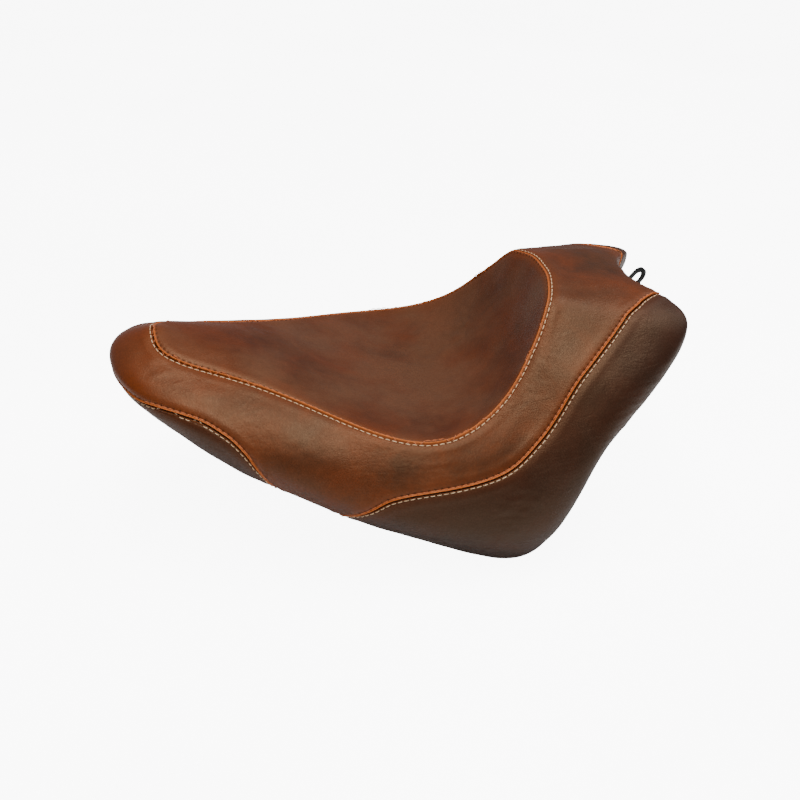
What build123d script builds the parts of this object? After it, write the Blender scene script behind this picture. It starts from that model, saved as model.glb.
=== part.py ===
from build123d import *
import math
import os

import numpy as np

# Solo motorcycle seat: a leather-look cover in five sewn panels over a moulded foam core, on a pressed
# steel base pan that straddles the frame at the front and the rear fender at the back.
# Row frame: +X towards the nose, +Y towards the rider's left, +Z up, millimetres. The origin is the
# middle of the slot in the rear mounting tab, and the seat is in its mounted attitude.
#
# The shape is described in seat coordinates (s, y, h): s is the distance back from the tip of the nose,
# y is towards the rider's left and h is height.

# ---- driving dimensions -------------------------------------------------------------------------
TAB_BEND = (518.0, 96.0)        # s, h where the rear tab bends up behind the seat
TAB_TILT = 50.0                 # degrees that the tab's free end stands above level
TAB_SLOT_UP = 24.5              # distance from the bend up to the middle of the slot
ORIGIN_S = TAB_BEND[0] + TAB_SLOT_UP * math.cos(math.radians(TAB_TILT))
ORIGIN_H = TAB_BEND[1] + TAB_SLOT_UP * math.sin(math.radians(TAB_TILT))

COVER = 1.8                     # thickness of the vinyl panels
FOAM_GAP = 0.2                  # glue line between the cover and the foam
HEM_WIDTH = 15.0                # how far the cover turns under the pan's rim
HEM_THICK = 1.6
PAN = 2.0                       # sheet thickness of the base pan
PAN_INSET = 4.0                 # the pan's edge stands this far inside the cover's edge
RIM_WIDTH = 17.0                # flat rim round the pan where the cover is riveted
LINER = 3.0                     # felt on the underside, over the fender
LINER_PLACES = (388, 404, 420, 436, 452, 466)
LINER_HALF_WIDTH = 78.0
STRAP = 3.0                     # thickness of the two stiffening straps across the channel
FRONT_STRAP_PLACES = (138, 150, 162)
FRONT_STRAP_HALF_WIDTH = 62.0
MIDDLE_STRAP_PLACES = (300, 314, 328)
MIDDLE_STRAP_HALF_WIDTH = 84.0

# Stations run round the left half of the seat from the middle of the nose to the middle of the back.
# Each gives the insert seam (s, y, h), the lower or rear edge (s, y, h), how far the side bulges out
# beyond that edge, the height of the bulge as a share of the side, and the roundness of the shoulder.
STATIONS = np.array([
    [42, 0, 106, 8, 0, 57, 9, 0.50, 0.60],
    [44, 22, 100, 14, 35, 56, 9, 0.50, 0.60],
    [56, 40, 93, 32, 59, 45, 12, 0.50, 0.60],
    [84, 53, 84, 65, 80, 24, 16, 0.48, 0.60],
    [128, 70, 73, 113, 103, -3, 20, 0.45, 0.60],
    [181, 99, 58, 170, 123, -30, 24, 0.44, 0.62],
    [238, 135, 43, 233, 142, -56, 27, 0.42, 0.64],
    [290, 151, 36, 302, 155, -81, 29, 0.42, 0.66],
    [334, 141, 44, 368, 160, -100, 27, 0.40, 0.66],
    [370, 121, 65, 414, 154, -74, 25, 0.38, 0.66],
    [394, 101, 92, 451, 143, -10, 21, 0.39, 0.66],
    [408, 86, 111, 494, 127, 34, 17, 0.40, 0.70],
    [420, 69, 130, 534, 104, 68, 12, 0.42, 0.72],
    [427, 51, 137, 548, 79, 88, 8, 0.50, 0.66],
    [432, 30, 141, 529, 43, 102, 4, 0.58, 0.60],
    [434, 12, 142, 519, 14, 104, 3, 0.60, 0.58],
    [434, 0, 142, 519, 0, 104, 3, 0.60, 0.58],
])
LAST = len(STATIONS) - 1
BULGE_T = 0.6                   # share of a side profile from the insert seam down to the bulge

# Sewn panel seams as (station, share of the side profile), from one end to the other.
CHIN_SEAM = [(0, 0.74), (1.2, 0.72), (1.9, 0.68), (2.6, 0.57), (3.1, 0.50), (3.5, 0.47),
             (3.9, 0.50), (4.2, 0.58), (4.4, 0.72), (4.5, 0.86), (4.55, 1.0)]
SKIRT_SEAM = [(5.55, 1.0), (5.75, 0.82), (6.3, 0.53), (6.8, 0.43), (7.4, 0.362), (7.9, 0.325),
              (8.7, 0.268), (9.3, 0.255), (10.4, 0.245), (11.2, 0.235), (12.0, 0.24),
              (12.7, 0.28), (13.3, 0.39), (13.7, 0.62), (13.95, 1.0)]

# Height of the seat's centre line and of the pan's roof along the middle, as (s, h).
CENTRE_LINE = [(42, 106), (60, 102), (84, 96), (128, 83), (181, 64), (238, 44), (290, 32),
               (334, 34), (370, 52), (394, 76), (410, 98), (422, 122), (434, 142)]
PAN_ROOF = [(0, 61), (32, 58), (65, 50), (113, 33), (170, 11), (233, -12), (302, -26),
            (345, -14), (385, 14), (430, 56), (480, 88), (520, 107.7), (550, 116)]
NOTCH_INSET = 3.0               # the foam stops this far short of the cover in the rear notch
FOAM_SHOULDER_T = 0.3           # from here down, the foam is set in sideways by its whole inset
FOAM_POINT_GAP = 3.0            # closest that two points of a foam section lie
PAN_PLACES = [2, 20, 40, 65, 95, 130, 170, 210, 250, 290, 325, 352, 372, 390, 410, 430, 450, 475, 500,
              525, 546]
FOAM_PLACES = [9, 14, 22, 34, 50, 75, 105, 140, 175, 210, 250, 290, 325, 350, 370, 390, 410, 430, 450,
               475, 500, 512, 526, 540]
ARCH_POWER = 3.4                # how squarely the pan's channel turns down at its sides
STEEPEST = 1.7                  # limit on the rim's slope where the edge turns back at the lobes
GLUE = 0.1                      # gap between the pan and what is fastened to it


# ---- curves -------------------------------------------------------------------------------------
def smooth_curve(knots, values):
    """A natural cubic spline through values, one row for each knot."""
    knots = np.asarray(knots, float)
    values = np.asarray(values, float)
    count = len(knots)
    step = np.diff(knots)
    matrix = np.eye(count)
    right = np.zeros_like(values)
    for i in range(1, count - 1):
        matrix[i, i - 1] = step[i - 1]
        matrix[i, i] = 2 * (step[i - 1] + step[i])
        matrix[i, i + 1] = step[i]
        right[i] = 6 * ((values[i + 1] - values[i]) / step[i] - (values[i] - values[i - 1]) / step[i - 1])
    second = np.linalg.solve(matrix, right)

    def value(at):
        i = min(max(int(np.searchsorted(knots, at)) - 1, 0), count - 2)
        h = step[i]
        a = knots[i + 1] - at
        b = at - knots[i]
        bend = (second[i] * a ** 3 + second[i + 1] * b ** 3) / (6 * h)
        return bend + (values[i] / h - second[i] * h / 6) * a + (values[i + 1] / h - second[i + 1] * h / 6) * b

    return value


def closed_table(table, reach=3):
    """The stations with a few mirrored ones at each end, so that the curves cross the middle squarely."""
    mirror = np.array([1, -1, 1, 1, -1, 1, 1, 1, 1])
    rows = np.vstack([table[reach:0:-1] * mirror, table, table[-2:-2 - reach:-1] * mirror])
    return np.arange(-reach, len(table) + reach), rows


station_values = smooth_curve(*closed_table(STATIONS))
centre_height = smooth_curve(*np.array(CENTRE_LINE, float).T)
roof_height = smooth_curve(*np.array(PAN_ROOF, float).T)
UP = np.array([0.0, 0.0, 1.0])
LEVEL = np.array([1.0, 1.0, 0.0])


def outward(k):
    """The level direction that points out of the seat at the edge of station k."""
    ahead = station_values(k + 0.01)[3:6] - station_values(k - 0.01)[3:6]
    out = np.cross(UP, ahead)
    return out / np.linalg.norm(out)


def bezier(t, p0, p1, p2, p3):
    u = 1 - t
    return u ** 3 * p0 + 3 * u * u * t * p1 + 3 * u * t * t * p2 + t ** 3 * p3


def skin(k, t):
    """A point of the cover's outside: t is 0 on the insert seam and 1 on the lower or rear edge."""
    row = station_values(k)
    seam, edge = row[0:3], row[3:6]
    bulge, rise, crown = row[6:9]
    widest = edge + outward(k) * bulge + UP * (seam[2] - edge[2]) * rise
    if t <= BULGE_T:
        fall = seam[2] - widest[2]
        shoulder = seam + (widest - seam) * LEVEL * crown * 0.75 - UP * 0.16 * fall
        return bezier(t / BULGE_T, seam, shoulder, widest + UP * 0.55 * fall, widest)
    fall = widest[2] - edge[2]
    tuck = edge + (widest - edge) * LEVEL * 0.45 + UP * 0.25 * fall
    return bezier((t - BULGE_T) / (1 - BULGE_T), widest, widest - UP * 0.45 * fall, tuck, edge)


def skin_normal(k, t):
    """The direction straight out of the cover."""
    low, high = max(t - 0.01, 0), min(t + 0.01, 1)
    along = skin(k + 0.01, t) - skin(k - 0.01, t)
    down = skin(k, high) - skin(k, low)
    normal = np.cross(along, down)
    return normal / np.linalg.norm(normal)


def place(point):
    """Seat coordinates to the row frame."""
    return (ORIGIN_S - point[0], point[1], point[2] - ORIGIN_H)


def on_middle(point, k):
    """The point itself, or its place on the middle plane at the two end stations."""
    return point * np.array([1, 0, 1]) if k in (0, LAST) else point


def seam_share(seam, k):
    return float(np.interp(k, *np.array(seam, float).T))


# ---- sections -----------------------------------------------------------------------------------
FINE = np.linspace(0, LAST, 641)


def ring(t):
    return np.array([skin(k, t) for k in FINE])


RING_SHARES = [0.0, 0.08, 0.18, 0.3, 0.42, 0.52, 0.6, 0.7, 0.8, 0.9, 1.0]
RINGS = {t: ring(t) for t in RING_SHARES}
MIDDLE_FRONT = np.array([skin(0, t) for t in np.linspace(0, 1, 81)])
MIDDLE_BACK = np.array([skin(LAST, t) for t in np.linspace(0, 1, 81)])


def ring_at(t, s):
    """Where ring t crosses the plane at s on the left side, or None beyond the ring's ends."""
    points = RINGS[t]
    last = int(np.argmax(points[:, 0]))
    points = points[:last + 1]
    if not points[0, 0] < s < points[-1, 0]:
        return None
    order = np.argsort(points[:, 0])
    return np.array([np.interp(s, points[order, 0], points[order, i]) for i in (1, 2)])


def top_height(s):
    """Height of the cover on the middle plane, or None where the rear notch is."""
    if s < CENTRE_LINE[0][0]:
        upper = MIDDLE_FRONT[:int(np.argmin(MIDDLE_FRONT[:, 0])) + 1]
        return float(np.interp(-s, -upper[:, 0], upper[:, 2]))
    if s <= CENTRE_LINE[-1][0]:
        return float(centre_height(s))
    upper = MIDDLE_BACK[:int(np.argmax(MIDDLE_BACK[:, 0])) + 1]
    return float(np.interp(s, upper[:, 0], upper[:, 2])) if s < upper[-1, 0] - NOTCH_INSET else None


def edge_at(s):
    """Half width and height of the lower edge at s."""
    low = RINGS[1.0][0, 0]
    high = RINGS[1.0][:, 0].max()
    return ring_at(1.0, min(max(s, low + 0.5), high - 0.5))


def edge_slope(s):
    """How fast the lower edge's height changes along s, limited where the edge turns back at the lobes."""
    change = (edge_at(s + 2)[1] - edge_at(s - 2)[1]) / 4
    return min(max(change, -STEEPEST), STEEPEST)


def channel_half_width(s):
    return max(edge_at(s)[0] - RIM_WIDTH, 24.0)


def under_height(s, y, drop=0.0):
    """Height of the pan's top face, or of a face that lies drop below it, square to the sheet.

    The pan has a flat rim above the hem and an arched channel between the rims.
    """
    roof_slope = float(roof_height(s + 1) - roof_height(s - 1)) / 2
    rim = edge_at(s)[1] + (PAN + HEM_THICK + GLUE - drop) * math.hypot(1, edge_slope(s))
    roof = float(roof_height(s)) - drop * math.hypot(1, roof_slope)
    share = min(abs(y) / (channel_half_width(s) - drop), 1.0)
    return roof + (min(rim, roof) - roof) * share ** ARCH_POWER


def section_plane(points, s):
    return [place((s, y, h)) for y, h in points]


def mirrored(points):
    """Left-hand points from the middle outwards, made into a whole section from right to left."""
    right = [(-y, h) for y, h in reversed(points) if y > 0]
    return right + [(y, h) for y, h in points]


def loop_of(*runs):
    """A closed wire of splines and straight lines through runs of points, each starting at the last's end."""
    edges = [Spline(*run) if len(run) > 2 else Line(*run) for run in runs]
    return Wire(edges)


def loft_of(wires, ruled=False):
    return Solid.make_loft(wires, ruled)


def with_mirror(half):
    return half + mirror(half, about=Plane.XZ)


def export(node, shape):
    shape.label = node
    export_step(shape, os.path.join("parts", node + ".step"))
    solids = shape.solids()
    print(f"{node:22s} solids {len(solids):3d}  volume {shape.volume / 1000:9.2f} cm3  valid {shape.is_valid}")


# ---- cover --------------------------------------------------------------------------------------
def strip_wire(k, top, bottom, count=9):
    """One cross-section of a side panel between two shares of the profile, flat if it has two points."""
    shares = np.linspace(top, bottom, count)
    outside = [on_middle(skin(k, t), k) for t in shares]
    normals = [skin_normal(k, t) for t in shares]
    if count == 2:
        normals = [skin_normal(k, (top + bottom) / 2)] * 2
    inside = [on_middle(p - n * COVER, k) for p, n in zip(outside, normals)]
    outside = [place(p) for p in outside]
    inside = [place(p) for p in inside]
    return loop_of(outside, [outside[-1], inside[-1]], inside[::-1], [inside[0], outside[0]])


def side_panel(stations, top_of, bottom_of):
    """A panel between two shares of the profile, with flat ends wherever it stops short of the middle."""
    wires = []
    for k in stations:
        is_end = k in (stations[0], stations[-1]) and k not in (0, LAST)
        wires.append(strip_wire(k, top_of(k), bottom_of(k), 2 if is_end else 9))
    return loft_of(wires, ruled=True)


def surround_bottom(k):
    if k < CHIN_SEAM[-1][0]:
        return seam_share(CHIN_SEAM, k)
    if SKIRT_SEAM[0][0] < k < SKIRT_SEAM[-1][0]:
        return seam_share(SKIRT_SEAM, k)
    return 1.0


def make_surround_panel():
    stations = np.unique(np.round(np.concatenate([
        np.linspace(0, LAST, 45), [k for k, t in CHIN_SEAM + SKIRT_SEAM]]), 3))
    return with_mirror(side_panel(stations, lambda k: 0.0, surround_bottom))


def make_chin_panel():
    stations = np.append(np.arange(0, 4.3, 0.25), [4.3, 4.4, 4.48])
    return with_mirror(side_panel(stations, lambda k: seam_share(CHIN_SEAM, k), lambda k: 1.0))


def make_skirt():
    stations = np.concatenate([[5.62, 5.75, 5.9], np.arange(6.1, 13.6, 0.3), [13.5, 13.7, 13.85]])
    return side_panel(np.unique(stations), lambda k: seam_share(SKIRT_SEAM, k), lambda k: 1.0)


def insert_section(s):
    """Left half of the insert's top at s, from the middle to the seam."""
    half, seam_height = ring_at(0.0, s)
    middle = float(centre_height(s))
    return [(half * u, middle + (seam_height - middle) * u ** 2.2) for u in np.linspace(0, 1, 6)]


def make_insert_panel():
    wires = []
    for s in [43.5, 45, 48, 54, 64, 80, 104, 130, 160, 190, 220, 250, 280, 310, 335, 355, 372, 388,
              400, 410, 418, 425, 430, 433]:
        upper = section_plane(mirrored(insert_section(s)), s)
        lower = [(x, y, z - COVER) for x, y, z in upper]
        wires.append(loop_of(upper, [upper[-1], lower[-1]], lower[::-1], [lower[0], upper[0]]))
    return loft_of(wires, ruled=True)


def hem_wire(k):
    edge = skin(k, 1.0)
    corners = []
    for inset, drop in ((0.3, PAN + GLUE + HEM_THICK), (HEM_WIDTH, PAN + GLUE + HEM_THICK),
                        (HEM_WIDTH, PAN + GLUE), (0.3, PAN + GLUE)):
        s, y, _ = on_middle(edge - outward(k) * inset, k)
        corners.append(place((s, y, under_height(s, y, drop))))
    return corners


def make_hem():
    """The cover's turned-under edge, a flat strip all the way round under the pan's rim."""
    wires = [Wire(Polyline(*hem_wire(k), close=True).edges()) for k in np.linspace(0, LAST, 65)]
    return with_mirror(loft_of(wires, ruled=True))


# ---- foam and pan -------------------------------------------------------------------------------
def foam_top(s):
    """Left half of the foam's top at s, from the middle down to the edge, inside the cover."""
    inset = COVER + FOAM_GAP
    points = []
    middle = top_height(s)
    if middle is not None:
        points.append((0.0, middle - inset))
    if RINGS[0.0][0, 0] < s < RINGS[0.0][:, 0].max():
        between = insert_section(s)[2:-1]
        points += [(y, h - inset) for y, h in between]
    for t in RING_SHARES:
        found = ring_at(t, s)
        if found is None:
            continue
        sideways = inset * min(1.0, t / FOAM_SHOULDER_T)
        points.append((found[0] - sideways, found[1] - inset * (1 - t)))
    points = [p for p in points if p[0] >= 0]
    kept = [points[0]]
    for y, h in points[1:]:
        if math.dist((y, h), kept[-1]) > FOAM_POINT_GAP:
            kept.append((y, h))
    return kept


FOAM_BELOW = 40.0               # how far the foam is drawn past the pan before the pan's shape is cut out


def foam_wire(s):
    """The foam at s, drawn too deep: its underside is cut out afterwards."""
    upper = section_plane(mirrored(foam_top(s)), s)
    floor = min(z for x, y, z in upper) - FOAM_BELOW
    low_left, low_right = [(upper[end][0], upper[end][1], floor) for end in (-1, 0)]
    return loop_of(upper, [upper[-1], low_left], [low_left, low_right], [low_right, upper[0]])


def edge_outline(inset, z_low, z_high):
    """An upright prism whose outline is the cover's edge seen from above, moved inwards."""
    left = []
    for k in np.linspace(0, LAST, 49):
        left.append(on_middle(skin(k, 1.0) - outward(k) * inset, k))
    left = [(ORIGIN_S - p[0], p[1]) for p in left]
    right = [(x, -y) for x, y in reversed(left)]
    sketch = make_face(Wire([Spline(*left), Spline(*right)]))
    return Pos(0, 0, z_low) * extrude(sketch, z_high - z_low)


def notch_tool():
    """An upright block that leaves the notch between the two rear lobes."""
    left = [on_middle(skin(k, 0.8) - outward(k) * NOTCH_INSET, k) for k in np.linspace(12.8, LAST, 14)]
    left = [(ORIGIN_S - p[0], p[1]) for p in left]
    right = [(x, -y) for x, y in reversed(left)]
    back = ORIGIN_S - 600
    corners = [right[-1], (back, right[-1][1]), (back, left[0][1]), left[0]]
    outline = make_face(Wire([Spline(*left), Spline(*right), *Polyline(*corners).edges()]))
    return Pos(0, 0, -150) * extrude(outline, 300)


def under_block():
    """Everything below the pan's top face, which the foam is moulded around."""
    wires = []
    for s in PAN_PLACES:
        right, upper, left = pan_face(s, -GLUE)
        low_left, low_right = [(p[0], p[1], p[2] - 200) for p in (left, right)]
        wires.append(loop_of([right, upper[0]], upper, [upper[-1], left], [left, low_left],
                             [low_left, low_right], [low_right, right]))
    return loft_of(wires)


def make_foam_core():
    whole = loft_of([foam_wire(s) for s in FOAM_PLACES], ruled=True)
    return whole - notch_tool() - under_block()


def arch_run(s, half_width, drop, count=9):
    """Points across the channel at s, from right to left, that lie drop below the pan's top face."""
    left = [(y, under_height(s, y, drop)) for y in np.linspace(0, half_width, count)]
    return section_plane(mirrored(left), s)


def pan_face(s, drop):
    """The pan's top face at s, or one drop below it: right rim, channel and left rim, drawn too wide."""
    half = channel_half_width(s)
    reach = max(edge_at(s)[0] + 8, half + 6)
    arch = arch_run(s, half - drop, drop)
    x, _, rim = arch[0]
    return (x, -reach, rim), arch, (x, reach, rim)


def sheet_wire(s):
    right, upper, left = pan_face(s, 0)
    low_right, lower, low_left = pan_face(s, PAN)
    return loop_of([right, upper[0]], upper, [upper[-1], left], [left, low_left],
                   [low_left, lower[-1]], lower[::-1], [lower[0], low_right], [low_right, right])


def make_base_pan():
    whole = loft_of([sheet_wire(s) for s in PAN_PLACES])
    return whole & edge_outline(PAN_INSET, -260, 60)


def cross_strap(places, half_width, thickness):
    """A strip across the channel, against the pan's underside."""
    wires = []
    for s in places:
        upper = arch_run(s, half_width, PAN + GLUE)
        lower = arch_run(s, half_width, PAN + GLUE + thickness)
        wires.append(loop_of(upper, [upper[-1], lower[-1]], lower[::-1], [lower[0], upper[0]]))
    return loft_of(wires)


# ---- hardware -----------------------------------------------------------------------------------
def under_plane(s, y):
    """A plane on the pan's underside at (s, y): x towards the nose, z straight down out of the pan."""
    h = under_height(s, abs(y), PAN)
    slope_s = (under_height(s + 1, abs(y), PAN) - under_height(s - 1, abs(y), PAN)) / 2
    side = 1 if y >= 0 else -1
    slope_y = side * (under_height(s, abs(y) + 1, PAN) - under_height(s, abs(y) - 1, PAN)) / 2 if y else 0
    down = Vector(-slope_s, slope_y, -1).normalized()
    forward = Vector(1, 0, -slope_s).normalized()
    return Plane(origin=place((s, y, h)), x_dir=forward, z_dir=down)


def disc(radius, low, high):
    return Pos(0, 0, low) * Cylinder(radius, high - low, align=(Align.CENTER, Align.CENTER, Align.MIN))


def block(length, width, low, high, corner=0.0):
    solid = Pos(0, 0, low) * Box(length, width, high - low, align=(Align.CENTER, Align.CENTER, Align.MIN))
    return fillet(solid.edges().filter_by(Axis.Z), corner) if corner else solid


RIVET_SHANK = 2.0
RIVET_HEAD = 4.6
RIVET_HEAD_HIGH = 1.7
RIVET_TAIL = 3.1
RIVET_TAIL_HIGH = 2.4
RIVET_PITCH = 44.0
RIVET_INSET = 9.5


def rivet(grip):
    """A pop rivet along z: head below z = grip, tail above the pan."""
    head = disc(RIVET_HEAD, grip, grip + RIVET_HEAD_HIGH)
    head = fillet(head.edges().sort_by(Axis.Z)[-1], RIVET_HEAD_HIGH * 0.8)
    tail = disc(RIVET_TAIL, -PAN - RIVET_TAIL_HIGH, -PAN)
    tail = fillet(tail.edges().sort_by(Axis.Z)[0], 0.8)
    return head + disc(RIVET_SHANK, -PAN, grip) + tail


def rivet_places():
    """Places on the rim, evenly spaced along the left edge from the nose to the notch, and their mirror."""
    ks = np.linspace(0.35, LAST - 0.45, 801)
    points = np.array([skin(k, 1.0) - outward(k) * RIVET_INSET for k in ks])
    steps = np.linalg.norm(np.diff(points, axis=0), axis=1)
    travelled = np.concatenate([[0], np.cumsum(steps)])
    count = round(travelled[-1] / RIVET_PITCH)
    left = []
    for wanted in np.linspace(0, travelled[-1], count + 1):
        left.append([float(np.interp(wanted, travelled, points[:, i])) for i in (0, 1)])
    return left + [[s, -y] for s, y in left]


BUMPER_SIZE = (34.0, 24.0, 11.0)
BUMPER_PLACES = {"front": (120.0, 40.0), "middle": (214.0, 58.0), "rear": (372.0, 62.0)}
BUMPER_GAP = 0.9                # the channel is curved, and the foot's top is flat
BUMPER_CORNER = 7.0
BUMPER_ROUND = 2.5
BUMPER_HEAD = 4.9
BUMPER_HEAD_DEEP = 6.0


def make_bumper(s, y):
    """A moulded rubber foot with a counterbored hole for its rivet."""
    length, width, height = BUMPER_SIZE
    body = block(length, width, BUMPER_GAP, height, BUMPER_CORNER)
    body = fillet(body.faces().sort_by(Axis.Z)[-1].edges(), BUMPER_ROUND)
    body -= disc(RIVET_SHANK, -1, height + 1)
    body -= disc(BUMPER_HEAD, height - BUMPER_HEAD_DEEP, height + 1)
    return under_plane(s, y) * body


def bumper_places():
    return [(s, y * side) for s, y in BUMPER_PLACES.values() for side in (1, -1)]


DRAIN_PLACES = [(268.0, 30.0), (268.0, -30.0)]
DRAIN_HOLE = 6.0
DRAIN_BORE = 4.0
DRAIN_FLANGE = 8.8
DRAIN_LIP = 2.0
DRILL = 10.0                    # half length of a drill that passes right through


def make_drain_grommet(s, y):
    """A rubber ring that grips the edge of a drain hole in the pan."""
    below = disc(DRAIN_FLANGE, GLUE / 4, DRAIN_LIP)
    neck = disc(DRAIN_HOLE, -PAN, DRAIN_LIP / 2)
    above = disc(DRAIN_FLANGE, -PAN - DRAIN_LIP, -PAN)
    return under_plane(s, y) * (below + neck + above - disc(DRAIN_BORE, -DRILL, DRILL))


TONGUE_PLACE = 84.0
TONGUE_WIDTH = 38.0
TONGUE_THICK = 3.0
TONGUE_DROP = 13.0
TONGUE_REACH = 54.0
TONGUE_RIVETS = [(-12.0, 10.0), (-12.0, -10.0), (4.0, 10.0), (4.0, -10.0)]
TONGUE_GAP = 1.0                # the pan is curved, and the tongue's foot is flat
TONGUE_PATH = [(-22.0, 0.0), (12.0, 0.0), (26.0, TONGUE_DROP), (TONGUE_REACH, TONGUE_DROP)]
TONGUE_BEND_RADIUS = 5.0
TONGUE_CORNER = 10.0


def bent_strip(points, radius, thickness, width):
    """A flat strip bent along a path in the local x-z plane, centred on y."""
    path = FilletPolyline(*[(x, 0, z) for x, z in points], radius=radius)
    start = path ^ 0
    profile = Plane(origin=start.position, x_dir=(0, 1, 0), z_dir=path % 0) * Rectangle(width, thickness)
    return sweep(profile, path)


def make_front_tongue():
    """A stepped steel strip under the nose that slides below the frame's cross bracket."""
    middle = TONGUE_THICK / 2 + TONGUE_GAP
    points = [(x, z + middle) for x, z in TONGUE_PATH]
    tongue = bent_strip(points, TONGUE_BEND_RADIUS, TONGUE_THICK, TONGUE_WIDTH)
    corners = tongue.edges().filter_by(Axis.Z).sort_by(Axis.X)[-2:]
    tongue = fillet(corners, TONGUE_CORNER)
    for x, y in TONGUE_RIVETS:
        tongue -= Pos(x, y, 0) * disc(RIVET_SHANK, 0, 2 * middle)
    return under_plane(TONGUE_PLACE, 0) * tongue


def tongue_rivet_planes():
    return [under_plane(TONGUE_PLACE, 0) * Pos(x, y, 0) for x, y in TONGUE_RIVETS]


TAB_WIDTH = 21.0
TAB_THICK = 3.0
TAB_LENGTH = 42.0               # from the bend to the rounded end
TAB_FOOT = 50.0                 # from the bend forward to the foot's end
TAB_SLOT_WIDTH = 13.5
TAB_BEND_RADIUS = 8.0
TAB_END = 4.8                   # metal left beyond the slot
TAB_FOOT_TILT = 26.0            # degrees, along the pan's roof
TAB_SCREWS = (24.0, 40.0)       # distances forward of the bend
SCREW_RADIUS = 3.0
SCREW_HOLE = 3.3
SCREW_HEAD = 5.25
SCREW_HEAD_HIGH = 3.3
SCREW_SOCKET = 2.0
SCREW_POINT = 1.5               # thread that stands out of the nut
SPACER_HIGH = 5.2
PLATE_LENGTH = 34.0
PLATE_WIDTH = 32.0
PLATE_HIGH = 2.5
PLATE_GAP = 0.9                 # the pan's roof is arched, and the plate above it is flat
NUT_HIGH = 5.0
NUT_ACROSS = 10.0
WASHER = 6.2
WASHER_HIGH = 1.2
POCKET_LENGTH = 48.0            # room in the foam over the plate and the nuts
POCKET_WIDTH = 38.0
POCKET_HIGH = 12.0


def tab_plane():
    """Origin on the tab's middle at its bend; x forward and down along the foot, z up out of the foot."""
    tilt = math.radians(TAB_FOOT_TILT)
    origin = place((TAB_BEND[0], 0, TAB_BEND[1]))
    return Plane(origin=origin, x_dir=(math.cos(tilt), 0, -math.sin(tilt)),
                 z_dir=(math.sin(tilt), 0, math.cos(tilt)))


def make_rear_tab():
    """The black steel tab that stands up behind the seat, with a long slot for the fender screw."""
    turn = math.radians(TAB_TILT - TAB_FOOT_TILT)
    end = (-TAB_LENGTH * math.cos(turn), TAB_LENGTH * math.sin(turn))
    tab = bent_strip([(TAB_FOOT, 0), (0, 0), end], TAB_BEND_RADIUS, TAB_THICK, TAB_WIDTH)
    for x in TAB_SCREWS:
        tab -= Pos(x, 0, 0) * disc(SCREW_HOLE, -5, 5)
    upright = Rot(0, math.degrees(turn), 0)
    slot_end = TAB_LENGTH - TAB_END
    slot_start = 2 * TAB_SLOT_UP - slot_end
    slot = Pos(-TAB_SLOT_UP, 0, 0) * extrude(SlotOverall(slot_end - slot_start, TAB_SLOT_WIDTH), 6, both=True)
    tab -= upright * slot
    outline = Pos(-TAB_LENGTH + TAB_WIDTH / 2, 0, 0) * disc(TAB_WIDTH / 2, -6, 6)
    keep = Pos(-TAB_LENGTH + TAB_WIDTH / 2, 0, -6) * Box(400, TAB_WIDTH + 2, 12,
                                                         align=(Align.MIN, Align.CENTER, Align.MIN))
    foot = Pos(0, 0, -60) * Box(200, TAB_WIDTH + 2, 120, align=(Align.MIN, Align.CENTER, Align.MIN))
    tab &= (upright * (outline + keep)) + foot
    return tab_plane() * tab


def spacer_base():
    return TAB_THICK / 2


def plate_base():
    return spacer_base() + SPACER_HIGH + PAN + PLATE_GAP


def tab_clamp_piece(width, base, high):
    """A block that the tab's two screws pass through."""
    solid = Pos(sum(TAB_SCREWS) / 2, 0, 0) * block(PLATE_LENGTH, width, base, base + high, 3)
    for x in TAB_SCREWS:
        solid -= Pos(x, 0, 0) * disc(SCREW_HOLE, base - 1, base + high + 1)
    return tab_plane() * solid


def make_tab_spacer():
    return tab_clamp_piece(TAB_WIDTH - 2, spacer_base(), SPACER_HIGH)


def make_tab_backing_plate():
    return tab_clamp_piece(PLATE_WIDTH, plate_base(), PLATE_HIGH)


def make_tab_nut(x):
    base = plate_base() + PLATE_HIGH
    nut = extrude(RegularPolygon(NUT_ACROSS / 2, 6, major_radius=False), NUT_HIGH)
    nut = Pos(0, 0, base) * nut - disc(SCREW_RADIUS, base - 1, base + NUT_HIGH + 1)
    return tab_plane() * Pos(x, 0, 0) * nut


def make_tab_washer(x):
    low = -TAB_THICK / 2 - WASHER_HIGH
    return tab_plane() * Pos(x, 0, 0) * (disc(WASHER, low, low + WASHER_HIGH) - disc(SCREW_HOLE, low - 1, 0))


def make_tab_screw(x):
    """A button-head screw, head down, with a hexagon socket."""
    seat = -TAB_THICK / 2 - WASHER_HIGH
    head = disc(SCREW_HEAD, seat - SCREW_HEAD_HIGH, seat)
    head = fillet(head.edges().sort_by(Axis.Z)[0], SCREW_SOCKET)
    hexagon = extrude(RegularPolygon(SCREW_SOCKET, 6, major_radius=False), SCREW_SOCKET)
    socket = Pos(0, 0, seat - SCREW_HEAD_HIGH) * hexagon
    shank = disc(SCREW_RADIUS, seat, plate_base() + PLATE_HIGH + NUT_HIGH + SCREW_POINT)
    return tab_plane() * Pos(x, 0, 0) * (head + shank - socket)


def tab_pocket():
    """Room in the foam over the tab's backing plate and nuts, and the strip of pan that they clamp."""
    base = plate_base() - PLATE_GAP
    room = block(POCKET_LENGTH, POCKET_WIDTH, base, base + POCKET_HIGH)
    return tab_plane() * Pos(sum(TAB_SCREWS) / 2, 0, 0) * room


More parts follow.
